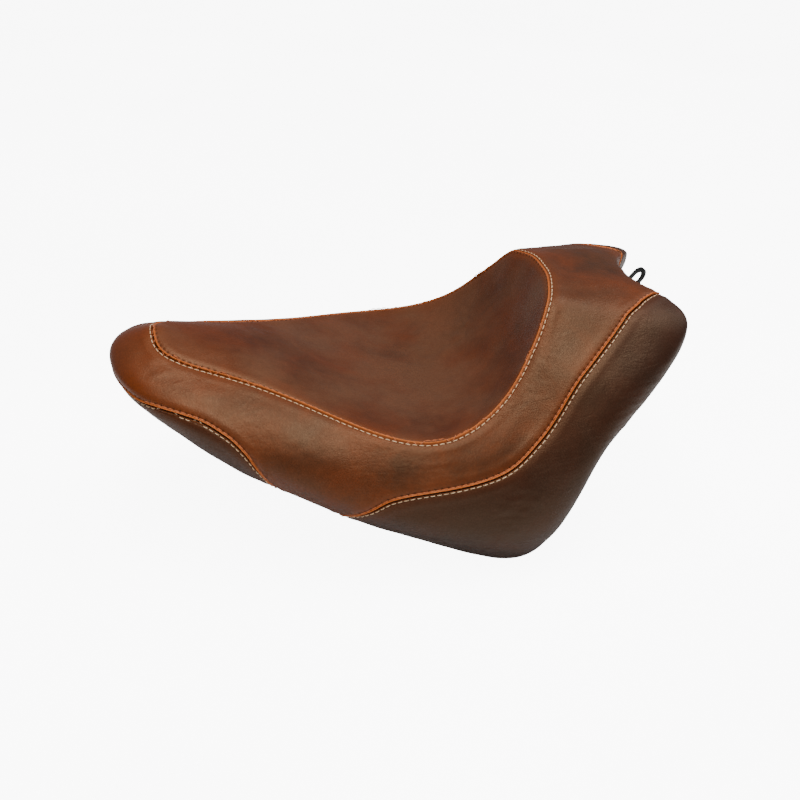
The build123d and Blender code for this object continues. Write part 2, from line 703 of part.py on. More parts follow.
def pan_holes():
    """Everything that is drilled through the pan and the hem."""
    short = DRILL / 2
    tools = [under_plane(s, y) * disc(RIVET_SHANK, -short, short) for s, y in rivet_places() + bumper_places()]
    tools += [plane * disc(RIVET_SHANK, -short, short) for plane in tongue_rivet_planes()]
    tools += [under_plane(s, y) * disc(DRAIN_HOLE, -short, short) for s, y in DRAIN_PLACES]
    tools += [tab_plane() * Pos(x, 0, 0) * disc(SCREW_HOLE, 0, 2 * DRILL) for x in TAB_SCREWS]
    return tools


def group(solids):
    return Compound(children=list(solids))


if __name__ == "__main__":
    os.makedirs("parts", exist_ok=True)
    holes = pan_holes()
    hem = make_hem()
    pan = make_base_pan()
    for tool in holes:
        pan -= tool
    for tool in holes[:len(rivet_places())]:
        hem -= tool

    export("insert_panel", make_insert_panel())
    export("surround_panel", make_surround_panel())
    export("chin_panel", make_chin_panel())
    left_skirt = make_skirt()
    export("left_skirt", left_skirt)
    export("right_skirt", mirror(left_skirt, about=Plane.XZ))
    export("cover_hem", hem)
    export("foam_core", make_foam_core() - tab_pocket())
    export("base_pan", pan)

    export("front_strap", cross_strap(FRONT_STRAP_PLACES, FRONT_STRAP_HALF_WIDTH, STRAP))
    export("middle_strap", cross_strap(MIDDLE_STRAP_PLACES, MIDDLE_STRAP_HALF_WIDTH, STRAP))
    export("fender_liner", cross_strap(LINER_PLACES, LINER_HALF_WIDTH, LINER))
    export("front_tongue", make_front_tongue())
    export("tongue_rivets", group(plane * rivet(TONGUE_THICK + TONGUE_GAP) for plane in tongue_rivet_planes()))
    export("cover_rivets", group(under_plane(s, y) * rivet(HEM_THICK + 2 * GLUE) for s, y in rivet_places()))
    for name, (s, y) in BUMPER_PLACES.items():
        export(f"{name}_left_bumper", make_bumper(s, y))
        export(f"{name}_right_bumper", make_bumper(s, -y))
    grip = BUMPER_SIZE[2] - BUMPER_HEAD_DEEP
    export("bumper_rivets", group(under_plane(s, y) * rivet(grip) for s, y in bumper_places()))
    export("drain_grommets", group(make_drain_grommet(s, y) for s, y in DRAIN_PLACES))
    export("rear_tab", make_rear_tab())
    export("tab_spacer", make_tab_spacer())
    export("tab_backing_plate", make_tab_backing_plate())
    export("tab_screws", group(make_tab_screw(x) for x in TAB_SCREWS))
    export("tab_washers", group(make_tab_washer(x) for x in TAB_SCREWS))
    export("tab_nuts", group(make_tab_nut(x) for x in TAB_SCREWS))
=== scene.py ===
import math

import bmesh
import bpy
import numpy as np
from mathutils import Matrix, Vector, noise
from mathutils.bvhtree import BVHTree
from mathutils.kdtree import KDTree


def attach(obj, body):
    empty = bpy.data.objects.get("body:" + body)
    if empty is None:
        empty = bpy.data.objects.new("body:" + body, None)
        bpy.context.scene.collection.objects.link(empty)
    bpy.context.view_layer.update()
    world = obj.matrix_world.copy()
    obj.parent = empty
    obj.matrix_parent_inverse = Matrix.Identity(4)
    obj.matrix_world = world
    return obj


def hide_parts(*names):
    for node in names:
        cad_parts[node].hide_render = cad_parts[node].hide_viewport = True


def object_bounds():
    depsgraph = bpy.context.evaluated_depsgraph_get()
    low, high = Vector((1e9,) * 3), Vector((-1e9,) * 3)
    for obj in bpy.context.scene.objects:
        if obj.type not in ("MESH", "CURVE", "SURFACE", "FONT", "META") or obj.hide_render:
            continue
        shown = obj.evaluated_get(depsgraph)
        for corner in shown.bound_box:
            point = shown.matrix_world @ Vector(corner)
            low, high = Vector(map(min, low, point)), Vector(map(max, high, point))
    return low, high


# The looks of a solo motorcycle seat: a distressed brown cover sewn from five panels with double rows
# of topstitching, over moulded foam on a steel base pan.
#
# The cover's shape is described in seat coordinates (s, y, h) in millimetres, as in the CAD source:
# s is the distance back from the tip of the nose, y is towards the rider's left and h is height.
# k runs round the seat, from 0 at the nose to 16 at the rear notch, and is negative on the right side.
# t runs down a side, from 0 on the insert seam to 1 on the lower or rear edge.

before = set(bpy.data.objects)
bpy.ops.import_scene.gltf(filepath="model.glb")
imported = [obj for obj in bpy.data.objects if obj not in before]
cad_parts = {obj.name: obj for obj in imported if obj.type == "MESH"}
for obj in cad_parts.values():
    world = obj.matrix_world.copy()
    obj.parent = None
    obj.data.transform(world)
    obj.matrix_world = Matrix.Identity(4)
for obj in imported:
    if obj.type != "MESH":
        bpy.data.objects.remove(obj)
CAD_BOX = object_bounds()

# ---- driving dimensions, in millimetres ---------------------------------------------------------
TAB_BEND = (518.0, 96.0)
TAB_TILT = math.radians(50.0)
TAB_SLOT_UP = 24.5
ORIGIN_S = TAB_BEND[0] + TAB_SLOT_UP * math.cos(TAB_TILT)
ORIGIN_H = TAB_BEND[1] + TAB_SLOT_UP * math.sin(TAB_TILT)

COVER = 1.6                     # thickness of the vinyl that shows
HEM_WIDTH = 15.0
HEM_DROP = 3.7                  # from the pan's top face down to the hem's underside
RIM_WIDTH = 17.0
ARCH_POWER = 3.4
STEEPEST = 1.7
LEAST_ARCH = 24.0               # half-width of the arch under the seat where it is narrowest
SHOULDER_REACH = 0.75           # control points of a side's two curves, as shares of its width or height
SHOULDER_DROP = 0.16
ABOVE_BULGE = 0.55
BELOW_BULGE = 0.45
TUCK_REACH = 0.45
TUCK_RISE = 0.25
DISH_POWER = 2.2                # how late the insert rises from its centre line to its seam

STITCH_PITCH = 6.3
THREAD = 0.82                   # diameter of the thread
PROUD_ROW = 2.7                 # distance from the seam to the stitches on the folded side
TUCKED_ROW = 2.2                # and on the other side
ROLL = 2.0                      # how far each side of the lower edge is rounded
COLUMN_STEP = 1.3               # spacing of the mesh round the seat
ALLOWANCE = 5.0                 # width of the edge that is turned in at each seam

FOAM_INSET = 4.8                # how far the foam lies below the cover's outside
FOAM_EDGE = 7.0                 # distance in from the lower edge to the foam's foot
FOAM_LIFT = 0.4                 # gap between the foam and the pan's top face
FOAM_COLUMN = 4                 # the foam has one column of mesh for so many of the cover's
FOAM_TOP_ROWS = 16
FOAM_SIDE_ROWS = 36
FOAM_UNDER_ROWS = 24
FOAM_SIDE = (0.02, 0.95)        # the shares of a side that the foam's rows run between
UNDER_SPINE_END = 470.0         # the foam's underside fans out from the middle line as far back as this
POCKET_S = 487.0                # middle of the room in the foam for the nuts of the rear tab
POCKET_HALF_LENGTH = 24.0
POCKET_HALF_WIDTH = 19.0
POCKET_HIGH = 13.0
POCKET_SLOPE = 8.0              # width of the pocket's sloping sides

# Distances of the mesh rows from a seam and above the lower edge, and the room kept between them
NEAR_SEAM = [0.0, 0.4, 0.8, 1.25, 1.75, 2.3, 2.9, 3.5, 4.2, 5.2, 6.8, 9.0]
NEAR_EDGE = [0.0, 1.2, 2.4]
LEAST_MIDDLE = 8.0
INSERT_ROWS = 30
ROLL_ROWS = [0.2, 0.4, 0.6, 0.8, 1.0]
HEM_ROWS = [5.0, 7.5, 10.0, 12.5, HEM_WIDTH]
HEM_RELIEF = 0.15               # share of the relief that is left on the hem, which is pulled flat
FOLD_ROW = 5                    # row beside a seam whose normal sets the way its edge is turned in

# Insert seam (s, y, h), lower or rear edge (s, y, h), bulge beyond the edge, height of the bulge as a
# share of the side, and roundness of the shoulder.
STATIONS = np.array([
    [42, 0, 106, 8, 0, 57, 9, 0.50, 0.60],
    [44, 22, 100, 14, 35, 56, 9, 0.50, 0.60],
    [56, 40, 93, 32, 59, 45, 12, 0.50, 0.60],
    [84, 53, 84, 65, 80, 24, 16, 0.48, 0.60],
    [128, 70, 73, 113, 103, -3, 20, 0.45, 0.60],
    [181, 99, 58, 170, 123, -30, 24, 0.44, 0.62],
    [238, 135, 43, 233, 142, -56, 27, 0.42, 0.64],
    [290, 151, 36, 302, 155, -81, 29, 0.42, 0.66],
    [334, 141, 44, 368, 160, -100, 27, 0.40, 0.66],
    [370, 121, 65, 414, 154, -74, 25, 0.38, 0.66],
    [394, 101, 92, 451, 143, -10, 21, 0.39, 0.66],
    [408, 86, 111, 494, 127, 34, 17, 0.40, 0.70],
    [420, 69, 130, 534, 104, 68, 12, 0.42, 0.72],
    [427, 51, 137, 548, 79, 88, 8, 0.50, 0.66],
    [432, 30, 141, 529, 43, 102, 4, 0.58, 0.60],
    [434, 12, 142, 519, 14, 104, 3, 0.60, 0.58],
    [434, 0, 142, 519, 0, 104, 3, 0.60, 0.58],
])
LAST = len(STATIONS) - 1
BULGE_T = 0.6
CHIN_SEAM = np.array([
    (0, 0.74), (1.2, 0.72), (1.9, 0.68), (2.6, 0.57), (3.1, 0.50), (3.5, 0.47),
    (3.9, 0.50), (4.2, 0.58), (4.4, 0.72), (4.5, 0.86), (4.55, 1.0)])
SKIRT_SEAM = np.array([
    (5.55, 1.0), (5.75, 0.82), (6.3, 0.53), (6.8, 0.43), (7.4, 0.362), (7.9, 0.325),
    (8.7, 0.268), (9.3, 0.255), (10.4, 0.245), (11.2, 0.235), (12.0, 0.24),
    (12.7, 0.28), (13.3, 0.39), (13.7, 0.62), (13.95, 1.0)])
CENTRE_LINE = np.array([
    (42, 106), (60, 102), (84, 96), (128, 83), (181, 64), (238, 44), (290, 32),
    (334, 34), (370, 52), (394, 76), (410, 98), (422, 122), (434, 142)], float)
PAN_ROOF = np.array([
    (0, 61), (32, 58), (65, 50), (113, 33), (170, 11), (233, -12), (302, -26),
    (345, -14), (385, 14), (430, 56), (480, 88), (520, 107.7), (550, 116)])
SPINE = (75.0, 395.0)           # the insert's mesh fans out from this stretch of the centre line
UP = np.array([0.0, 0.0, 1.0])
LEVEL = np.array([1.0, 1.0, 0.0])


# ---- curves and the cover's shape ---------------------------------------------------------------
def smooth_curve(knots, values):
    """A natural cubic spline through rows of values, worked out for whole arrays of places."""
    knots = np.asarray(knots, float)
    values = np.asarray(values, float)
    count = len(knots)
    step = np.diff(knots)
    matrix = np.eye(count)
    right = np.zeros_like(values)
    for i in range(1, count - 1):
        matrix[i, i - 1:i + 2] = step[i - 1], 2 * (step[i - 1] + step[i]), step[i]
        right[i] = 6 * ((values[i + 1] - values[i]) / step[i] - (values[i] - values[i - 1]) / step[i - 1])
    second = np.linalg.solve(matrix, right)

    def value(at):
        at = np.asarray(at, float)
        i = np.clip(np.searchsorted(knots, at) - 1, 0, count - 2)
        h = step[i][..., None]
        a = (knots[i + 1] - at)[..., None]
        b = (at - knots[i])[..., None]
        bend = (second[i] * a ** 3 + second[i + 1] * b ** 3) / (6 * h)
        start = (values[i] / h - second[i] * h / 6) * a
        end = (values[i + 1] / h - second[i + 1] * h / 6) * b
        return bend + start + end

    return value


def closed_stations(table, reach=3):
    mirror = np.array([1, -1, 1, 1, -1, 1, 1, 1, 1])
    rows = np.vstack([table[reach:0:-1] * mirror, table, table[-2:-2 - reach:-1] * mirror])
    return smooth_curve(np.arange(-reach, len(table) + reach), rows)


station_values = closed_stations(STATIONS)
centre_curve = smooth_curve(CENTRE_LINE[:, 0], CENTRE_LINE[:, 1:])
roof_curve = smooth_curve(PAN_ROOF[:, 0], PAN_ROOF[:, 1:])


def bezier(t, p0, p1, p2, p3):
    t = t[..., None]
    u = 1 - t
    return u ** 3 * p0 + 3 * u * u * t * p1 + 3 * u * t * t * p2 + t ** 3 * p3


def outward(k):
    """The level direction out of the left side at the edge of station k."""
    ahead = station_values(k + 0.01)[..., 3:6] - station_values(k - 0.01)[..., 3:6]
    out = np.cross(UP, ahead)
    return out / np.linalg.norm(out, axis=-1, keepdims=True)


def to_side(points, k):
    """Points of the left side moved to the side that k is on."""
    points = points.copy()
    points[..., 1] *= np.where(k < 0, -1.0, 1.0)
    return points


def skin(k, t):
    """The outside of the cover at arrays of k and t."""
    k, t = np.broadcast_arrays(np.asarray(k, float), np.asarray(t, float))
    station = np.abs(k)
    row = station_values(station)
    seam = row[..., 0:3]
    edge = row[..., 3:6]
    bulge, rise, crown = row[..., 6:7], row[..., 7:8], row[..., 8:9]
    widest = edge + outward(station) * bulge + UP * (seam[..., 2:] - edge[..., 2:]) * rise
    fall = seam[..., 2:] - widest[..., 2:]
    shoulder = seam + (widest - seam) * LEVEL * crown * SHOULDER_REACH - UP * SHOULDER_DROP * fall
    upper = bezier(np.minimum(t / BULGE_T, 1), seam, shoulder, widest + UP * ABOVE_BULGE * fall, widest)
    fall = widest[..., 2:] - edge[..., 2:]
    tuck = edge + (widest - edge) * LEVEL * TUCK_REACH + UP * TUCK_RISE * fall
    share = np.maximum((t - BULGE_T) / (1 - BULGE_T), 0)
    lower = bezier(share, widest, widest - UP * BELOW_BULGE * fall, tuck, edge)
    return to_side(np.where((t <= BULGE_T)[..., None], upper, lower), k)


FINE_K = np.linspace(0, LAST, 1601)
EDGE_RING = skin(FINE_K, 1.0)
EDGE_RING = EDGE_RING[:int(np.argmax(EDGE_RING[:, 0])) + 1]


def edge_half_width(s):
    return np.interp(s, EDGE_RING[:, 0], EDGE_RING[:, 1])


def edge_height(s):
    return np.interp(s, EDGE_RING[:, 0], EDGE_RING[:, 2])


def under_height(s, y, drop):
    """Height of a face that lies drop below the pan's top face, square to the sheet."""
    slope = np.clip((edge_height(s + 2) - edge_height(s - 2)) / 4, -STEEPEST, STEEPEST)
    rim = edge_height(s) + (HEM_DROP - drop) * np.hypot(1, slope)
    roof_slope = (roof_curve(s + 1) - roof_curve(s - 1))[..., 0] / 2
    roof = roof_curve(s)[..., 0] - drop * np.hypot(1, roof_slope)
    half = np.maximum(edge_half_width(s) - RIM_WIDTH, LEAST_ARCH) - drop
    return roof + (np.minimum(rim, roof) - roof) * np.minimum(np.abs(y) / half, 1) ** ARCH_POWER


def to_frame(points):
    """Seat coordinates in millimetres to the row frame in metres."""
    return np.stack([ORIGIN_S - points[..., 0], points[..., 1], points[..., 2] - ORIGIN_H], -1) / 1000


# ---- seams --------------------------------------------------------------------------------------
SEAM_STEP = 0.3                 # spacing of a seam's points
PLACES = 150                    # places per station where a seam is worked out


class Seam:
    """A sewn line on the cover, measured along its length."""

    def __init__(self, name, k, t):
        self.name = name
        points = skin(k, t)
        travelled = np.concatenate([[0], np.cumsum(np.linalg.norm(np.diff(points, axis=0), axis=1))])
        self.closed = bool(np.linalg.norm(points[0] - points[-1]) < 0.1)
        self.count = round(travelled[-1] / STITCH_PITCH)
        self.pitch = travelled[-1] / self.count
        self.length = travelled[-1]
        self.along = np.arange(0, travelled[-1], SEAM_STEP)
        self.points = np.stack([np.interp(self.along, travelled, points[:, i]) for i in range(3)], -1)
        self.tree = KDTree(len(self.points))
        for i, p in enumerate(self.points):
            self.tree.insert(p, i)
        self.tree.balance()

    def nearest(self, points):
        """Distance from each point to the seam, and how far along the seam it is."""
        found = [self.tree.find(p)[1:] for p in points]
        places = np.array([f[0] for f in found])
        return np.array([f[1] for f in found]), self.along[places]

    def at(self, along):
        return np.stack([np.interp(along, self.along, self.points[:, i]) for i in range(3)], -1)


def seam_t(table, k):
    """Share of the side where a seam runs: a smooth curve that doesn't swing past its points."""
    places, shares = table.T
    step = np.diff(places)
    slope = np.diff(shares) / step
    turn = np.concatenate([slope[:1], np.zeros(len(slope) - 1), slope[-1:]])
    same = np.flatnonzero(slope[:-1] * slope[1:] > 0)
    turn[same + 1] = 2 * slope[same] * slope[same + 1] / (slope[same] + slope[same + 1])
    at = np.clip(np.abs(k), places[0], places[-1])
    i = np.clip(np.searchsorted(places, at) - 1, 0, len(step) - 1)
    u = (at - places[i]) / step[i]
    rise = 3 * u * u - 2 * u ** 3
    bend = step[i] * (turn[i] * u * (1 - u) ** 2 - turn[i + 1] * u * u * (1 - u))
    return shares[i] + (shares[i + 1] - shares[i]) * rise + bend


def dense(start, end):
    return np.linspace(start, end, int(abs(end - start) * PLACES) + 2)


RING_K = dense(-LAST, LAST)
CHIN_K = dense(-CHIN_SEAM[-1, 0], CHIN_SEAM[-1, 0])
SKIRT_K = dense(SKIRT_SEAM[0, 0], SKIRT_SEAM[-1, 0])
INSERT_LINE = Seam("insert", RING_K, 0.0)
CHIN_LINE = Seam("chin", CHIN_K, seam_t(CHIN_SEAM, CHIN_K))
LEFT_LINE = Seam("left_skirt", SKIRT_K, seam_t(SKIRT_SEAM, SKIRT_K))
RIGHT_LINE = Seam("right_skirt", -SKIRT_K, seam_t(SKIRT_SEAM, SKIRT_K))


def bell(distance, width):
    return np.exp(-(distance / width) ** 2)


# Relief and marks beside a seam. Each is a bell: its height in millimetres, or its strength from 0 to 1,
# then its distance and its width. The distance is from the seam, or from the stitches for ROW and HOLE.
GROOVE = (-1.9, 0.0, 0.75)
PILLOW = (0.55, 8.5, 4.0)       # where the padding swells up again
SUNK_ROW = (-0.45, 0.0, 0.7)    # the stitches pull the leather down
PROUD_RIDGE = (1.0, 1.3, 0.9)
PROUD_HOLE = (-1.0, 0.7, 1.0)
PROUD_WORN = (0.90, 1.4, 1.1)
# The dark marks in the groove and at the stitch holes are partly grime and partly painted shade.
PROUD_DIRT_AND_SHADE = (0.9, 0.0, 0.5)
PROUD_HOLE_DIRT_AND_SHADE = (0.95, 0.7, 0.85)
TUCKED_RIDGE = (0.25, 1.2, 0.6)
TUCKED_HOLE = (-0.6, 0.0, 0.9)
TUCKED_WORN = (0.20, 1.3, 0.7)
TUCKED_DIRT_AND_SHADE = (1.0, 0.0, 0.8)
TUCKED_HOLE_DIRT_AND_SHADE = (0.5, 0.0, 0.8)
HOLE_LENGTH = 1.0               # width of a hole's bell along the seam
FADE = 7.0                      # how far the polish of a worn seam reaches
PROUD_FADE = 0.10
TUCKED_FADE = 0.08


def raised(shape, distance, row=0.0):
    height, place, width = shape
    return height * bell(distance - row - place, width)


def seam_relief(distance, along, pitch, proud):
    """Height of the leather beside a seam, how worn it is, and how dark it is with grime and painted shade,
    at a distance from the seam.

    The proud side is folded over and stands up as a ridge. The other side is tucked under it.
    """
    row = PROUD_ROW if proud else TUCKED_ROW
    from_hole = (along / pitch + 0.5) % 1.0 - 0.5
    hole = bell(from_hole * pitch, HOLE_LENGTH)
    polish = np.exp(-distance / FADE)
    height = raised(GROOVE, distance) + raised(PILLOW, distance) + raised(SUNK_ROW, distance, row)
    if proud:
        height += raised(PROUD_RIDGE, distance) + hole * raised(PROUD_HOLE, distance, row)
        worn = raised(PROUD_WORN, distance) + PROUD_FADE * polish
        dark = raised(PROUD_DIRT_AND_SHADE, distance) + hole * raised(PROUD_HOLE_DIRT_AND_SHADE, distance, row)
    else:
        height += raised(TUCKED_RIDGE, distance) + hole * raised(TUCKED_HOLE, distance, row)
        worn = raised(TUCKED_WORN, distance) + TUCKED_FADE * polish
        dark = raised(TUCKED_DIRT_AND_SHADE, distance) + hole * raised(TUCKED_HOLE_DIRT_AND_SHADE, distance, row)
    return height, worn, dark


# ---- meshes -------------------------------------------------------------------------------------
def new_object(name, points, faces):
    """A smooth-shaded mesh object from points in the row frame, without unused ones, and which it used."""
    used = np.unique(np.concatenate([np.ravel(f) for f in faces]))
    place_of = np.zeros(len(points), int)
    place_of[used] = np.arange(len(used))
    mesh = bpy.data.meshes.new(name)
    mesh.from_pydata(points[used].tolist(), [], [tuple(int(place_of[i]) for i in f) for f in faces])
    mesh.polygons.foreach_set("use_smooth", [True] * len(mesh.polygons))
    piece = bpy.data.objects.new(name, mesh)
    bpy.context.scene.collection.objects.link(piece)
    return piece, used


def store(piece, name, values):
    attribute = piece.data.attributes.new(name, "FLOAT", "POINT")
    attribute.data.foreach_set("value", values.astype(np.float32))


def grid_normals(points, closed):
    """Unit normals of a grid [column, row] of points in the row frame."""
    if closed:
        along = np.roll(points, -1, 0) - np.roll(points, 1, 0)
    else:
        along = np.gradient(points, axis=0)
    down = np.gradient(points, axis=1)
    normal = np.cross(down, along)
    size = np.linalg.norm(normal, axis=-1, keepdims=True)
    return normal / np.maximum(size, 1e-12)


def grid_faces(columns, rows, closed, keep=None):
    faces = []
    for i in range(columns if closed else columns - 1):
        n = (i + 1) % columns
        for j in range(rows - 1):
            if keep is None or (keep[i, j] and keep[n, j]):
                faces.append((i * rows + j, i * rows + j + 1, n * rows + j + 1, n * rows + j))
    return faces


def even_columns(start, end, share, closed=False):
    """Places round the seat, evenly spaced along the line that runs at that share of the side."""
    k = dense(start, end)
    points = skin(k, share)
    travelled = np.concatenate([[0], np.cumsum(np.linalg.norm(np.diff(points, axis=0), axis=1))])
    count = int(travelled[-1] / COLUMN_STEP)
    return np.interp(np.linspace(0, travelled[-1], count, endpoint=not closed), travelled, k)


def panel_rows(k, top, bottom, low_seam, middle_rows):
    """Shares of the side for each row of a panel: close together beside its seams, even between them."""
    shares = np.linspace(0, 1, 201)
    profile = skin(k[:, None], shares[None, :])
    travelled = np.cumsum(np.linalg.norm(np.diff(profile, axis=1), axis=2), axis=1)
    travelled = np.concatenate([np.zeros((len(k), 1)), travelled], 1)
    near = np.array(NEAR_SEAM)
    ends = near if low_seam else np.array(NEAR_EDGE)
    result = []
    for i in range(len(k)):
        first = np.interp(top[i], shares, travelled[i])
        last = np.interp(bottom[i], shares, travelled[i])
        last = last if bottom[i] < 1 else max(last - ROLL, first + 0.2)
        room = last - first
        squeeze = min(1.0, room / (near[-1] + ends[-1] + LEAST_MIDDLE))
        start = first + near * squeeze
        stop = last - ends[::-1] * squeeze
        middle = np.linspace(start[-1], stop[0], middle_rows + 2)[1:-1]
        places = np.concatenate([start, middle, stop])
        result.append(np.interp(places, travelled[i], shares))
    return np.array(result)


def under_rows(k, start):
    """Rows that roll the cover under its lower edge and run in below the pan's rim as the hem."""
    station = np.abs(k)
    edge = station_values(station)[..., 3:6]
    out = outward(station)

    def hem(inset):
        point = edge - out * inset
        point[:, 2] = under_height(point[:, 0], point[:, 1], HEM_DROP)
        return to_side(point, k)

    low = to_side(edge, k)
    turned = hem(ROLL)
    rows = []
    for u in ROLL_ROWS:
        rows.append((1 - u) ** 2 * start + 2 * u * (1 - u) * low + u * u * turned)
    rows += [hem(inset) for inset in HEM_ROWS]
    return np.stack(rows, 1)


CRINKLE = (0.016, 0.012, 0.0048)    # size of a crease along x, y and z, in metres
CRINKLE_PATCH = 0.075
CRINKLE_LEAST = 0.02            # patches weaker than this are smooth
CRINKLE_HEIGHT = 0.0016
CRINKLES_FROM = 5.0             # distance from a seam, in millimetres, where the creases begin
CRINKLES_OVER = 10.0            # and over which they grow
SIDE_WAVE = 0.0012              # height in metres of the padding's slow swells
INSERT_WAVE = 0.0009
WAVE_SIZE = 0.06
RIPPLE_SIZE = 0.022
RIPPLE_SHARE = 0.35
WAVES_FROM = 3.0
WAVES_OVER = 20.0
WARM_TO = 150.0                 # the nose is worn to a warmer brown, up to here
WARM_LENGTH = 130.0
WARM_NOSE = 0.75
WARM_SEAM = 0.5
WARM_SEAM_REACH = 13.0


def waviness(points, amount, size, seed):
    """Slow seeded undulation of the padding, in metres, for points in the row frame."""
    shift = Vector((seed * 7.3, seed * 3.1, seed * 5.7))
    return np.array([noise.noise(Vector(p) / size + shift) for p in points]) * amount


def crinkles(points, seed):
    """Small sideways creases where the vinyl has been stretched and has relaxed, strong in patches."""
    shift = Vector((seed * 2.3, seed * 4.1, seed * 1.7))
    result = np.zeros(len(points))
    for i, p in enumerate(points):
        place = Vector(p)
        patch = noise.noise(place / CRINKLE_PATCH + shift)
        if patch > CRINKLE_LEAST:
            squashed = Vector(a / size for a, size in zip(place, CRINKLE))
            result[i] = (patch - CRINKLE_LEAST) * noise.noise(squashed + shift)
    return result


def dress(piece_points, seams, wave, seed):
    """Relief in metres along the normal, and the wear, the darkening from grime and painted shade, and the
    warmth of each point of a panel.
    """
    flat = piece_points.reshape(-1, 3)
    relief = np.zeros(len(flat))
    worn = np.zeros(len(flat))
    dark = np.zeros(len(flat))
    nearest = np.full(len(flat), 1e3)
    for seam, proud in seams:
        distance, along = seam.nearest(flat)
        height, wear, dirt_and_shade = seam_relief(distance, along, seam.pitch, proud)
        relief += height
        worn = np.maximum(worn, wear)
        dark = np.maximum(dark, dirt_and_shade)
        nearest = np.minimum(nearest, distance)
    calm = np.clip((nearest - WAVES_FROM) / WAVES_OVER, 0, 1)
    placed = to_frame(flat)
    relief = relief / 1000 + waviness(placed, wave, WAVE_SIZE, seed) * calm
    relief += waviness(placed, wave * RIPPLE_SHARE, RIPPLE_SIZE, seed + 5) * calm
    creased = np.clip((nearest - CRINKLES_FROM) / CRINKLES_OVER, 0, 1)
    relief += crinkles(placed, seed) * CRINKLE_HEIGHT * creased
    nose = np.clip((WARM_TO - flat[:, 0]) / WARM_LENGTH, 0, 1)
    warm = np.clip(WARM_NOSE * nose + WARM_SEAM * np.exp(-nearest / WARM_SEAM_REACH), 0, 1)
    return relief, worn, dark, warm


def with_edge(marks, shape):
    """Marks of a grid of points with one more row before the first."""
    marks = marks.reshape(shape)
    return np.concatenate([marks[:, :1], marks], 1)


def finish_panel(piece, used, turned, worn, dark, warm):
    for name, values in (("turned", turned), ("worn", worn), ("dark", dark), ("warm", warm)):
        store(piece, name, values.ravel()[used])


def thicken(piece):
    solid = piece.modifiers.new("thickness", "SOLIDIFY")
    solid.thickness = COVER / 1000
    solid.offset = -1
    solid.use_rim = True


def side_panel(name, k, top, bottom, seams, middle_rows, seed, closed=False, low_seam=False):
    """A panel of the side of the seat, with its hem where it reaches the lower edge."""
    shares = panel_rows(k, top, bottom, low_seam, middle_rows)
    body = skin(k[:, None], shares)
    whole = np.concatenate([body, under_rows(k, body[:, -1])], 1)
    relief, worn, dark, warm = dress(whole, seams, SIDE_WAVE, seed)
    placed = to_frame(whole)
    height = relief.reshape(whole.shape[:2]).copy()
    height[:, body.shape[1] + len(ROLL_ROWS) - 1:] *= HEM_RELIEF
    normals = grid_normals(placed, closed)
    placed = placed + normals * height[..., None]
    rows = whole.shape[1] + 1
    last = body.shape[1]
    sewn = bottom < 1
    turned = np.zeros((len(k), rows))
    turned[:, 0] = 1
    turned[sewn, last + 1] = 1
    placed = np.concatenate([placed[:, :1] - normals[:, FOLD_ROW, None] * ALLOWANCE / 1000, placed], 1)
    placed[sewn, last + 1] = placed[sewn, last] - normals[sewn, last - 1 - FOLD_ROW] * ALLOWANCE / 1000
    keep = np.ones((len(k), rows - 1), bool)
    keep[sewn, last + 1:] = False
    faces = grid_faces(len(k), rows, closed, keep)
    piece, used = new_object(name, placed.reshape(-1, 3), faces)
    finish_panel(piece, used, turned, *(with_edge(marks, whole.shape[:2]) for marks in (worn, dark, warm)))
    return piece


def insert_surface(k, share):
    """The insert's top: share is 0 on the centre line and 1 on the seam."""
    seam = skin(k, 0.0)
    middle = np.clip(seam[..., 0], *SPINE)
    slope = (centre_curve(middle + 1) - centre_curve(middle - 1))[..., 0] / 2
    s = middle + (seam[..., 0] - middle) * share
    y = seam[..., 1] * share
    centre = centre_curve(middle)[..., 0] + slope * (s - middle)
    h = centre + (seam[..., 2] - centre) * share ** DISH_POWER
    return np.stack([s, y, h], -1)


def make_insert():
    k = even_columns(-LAST, LAST, 0.0, closed=True)
    seam = skin(k, 0.0)
    reach = np.hypot(seam[:, 0] - np.clip(seam[:, 0], *SPINE), seam[:, 1])
    near = np.array(NEAR_SEAM)
    shares = []
    for i in range(len(k)):
        start = near * min(1.0, reach[i] / (near[-1] * 2)) / reach[i]
        shares.append(np.concatenate([np.linspace(0, 1 - start[-1], INSERT_ROWS)[:-1], (1 - start)[::-1]]))
    shares = np.array(shares)
    surface = insert_surface(k[:, None] + 0 * shares, shares)
    relief, worn, dark, warm = dress(surface, [(INSERT_LINE, True)], INSERT_WAVE, seed=3)
    placed = to_frame(surface)
    normals = grid_normals(placed, True)
    normals[:, 0] = normals[:, 1]
    placed = placed + normals * relief.reshape(shares.shape)[..., None]
    fold = placed[:, -1:] - normals[:, -1 - FOLD_ROW, None] * ALLOWANCE / 1000
    placed = np.concatenate([placed, fold], 1)
    turned = np.zeros(placed.shape[:2])
    turned[:, -1] = 1
    marks = [m.reshape(shares.shape) for m in (worn, dark, warm)]
    marks = [np.concatenate([m, m[:, -1:]], 1) for m in marks]
    faces = grid_faces(*turned.shape, True)
    piece, used = new_object("cover_insert", placed.reshape(-1, 3), faces)
    finish_panel(piece, used, turned, *marks)
    shaped = bmesh.new()
    shaped.from_mesh(piece.data)
    bmesh.ops.remove_doubles(shaped, verts=shaped.verts, dist=1e-5)
    bmesh.ops.dissolve_degenerate(shaped, edges=shaped.edges, dist=1e-6)
    shaped.to_mesh(piece.data)
    shaped.free()
    return piece


def surround_bottom(k):
    k = np.abs(k)
    bottom = np.ones_like(k)
    chin = k < CHIN_SEAM[-1, 0]
    skirt = (k > SKIRT_SEAM[0, 0]) & (k < SKIRT_SEAM[-1, 0])
    bottom[chin] = seam_t(CHIN_SEAM, k[chin])
    bottom[skirt] = seam_t(SKIRT_SEAM, k[skirt])
    return bottom


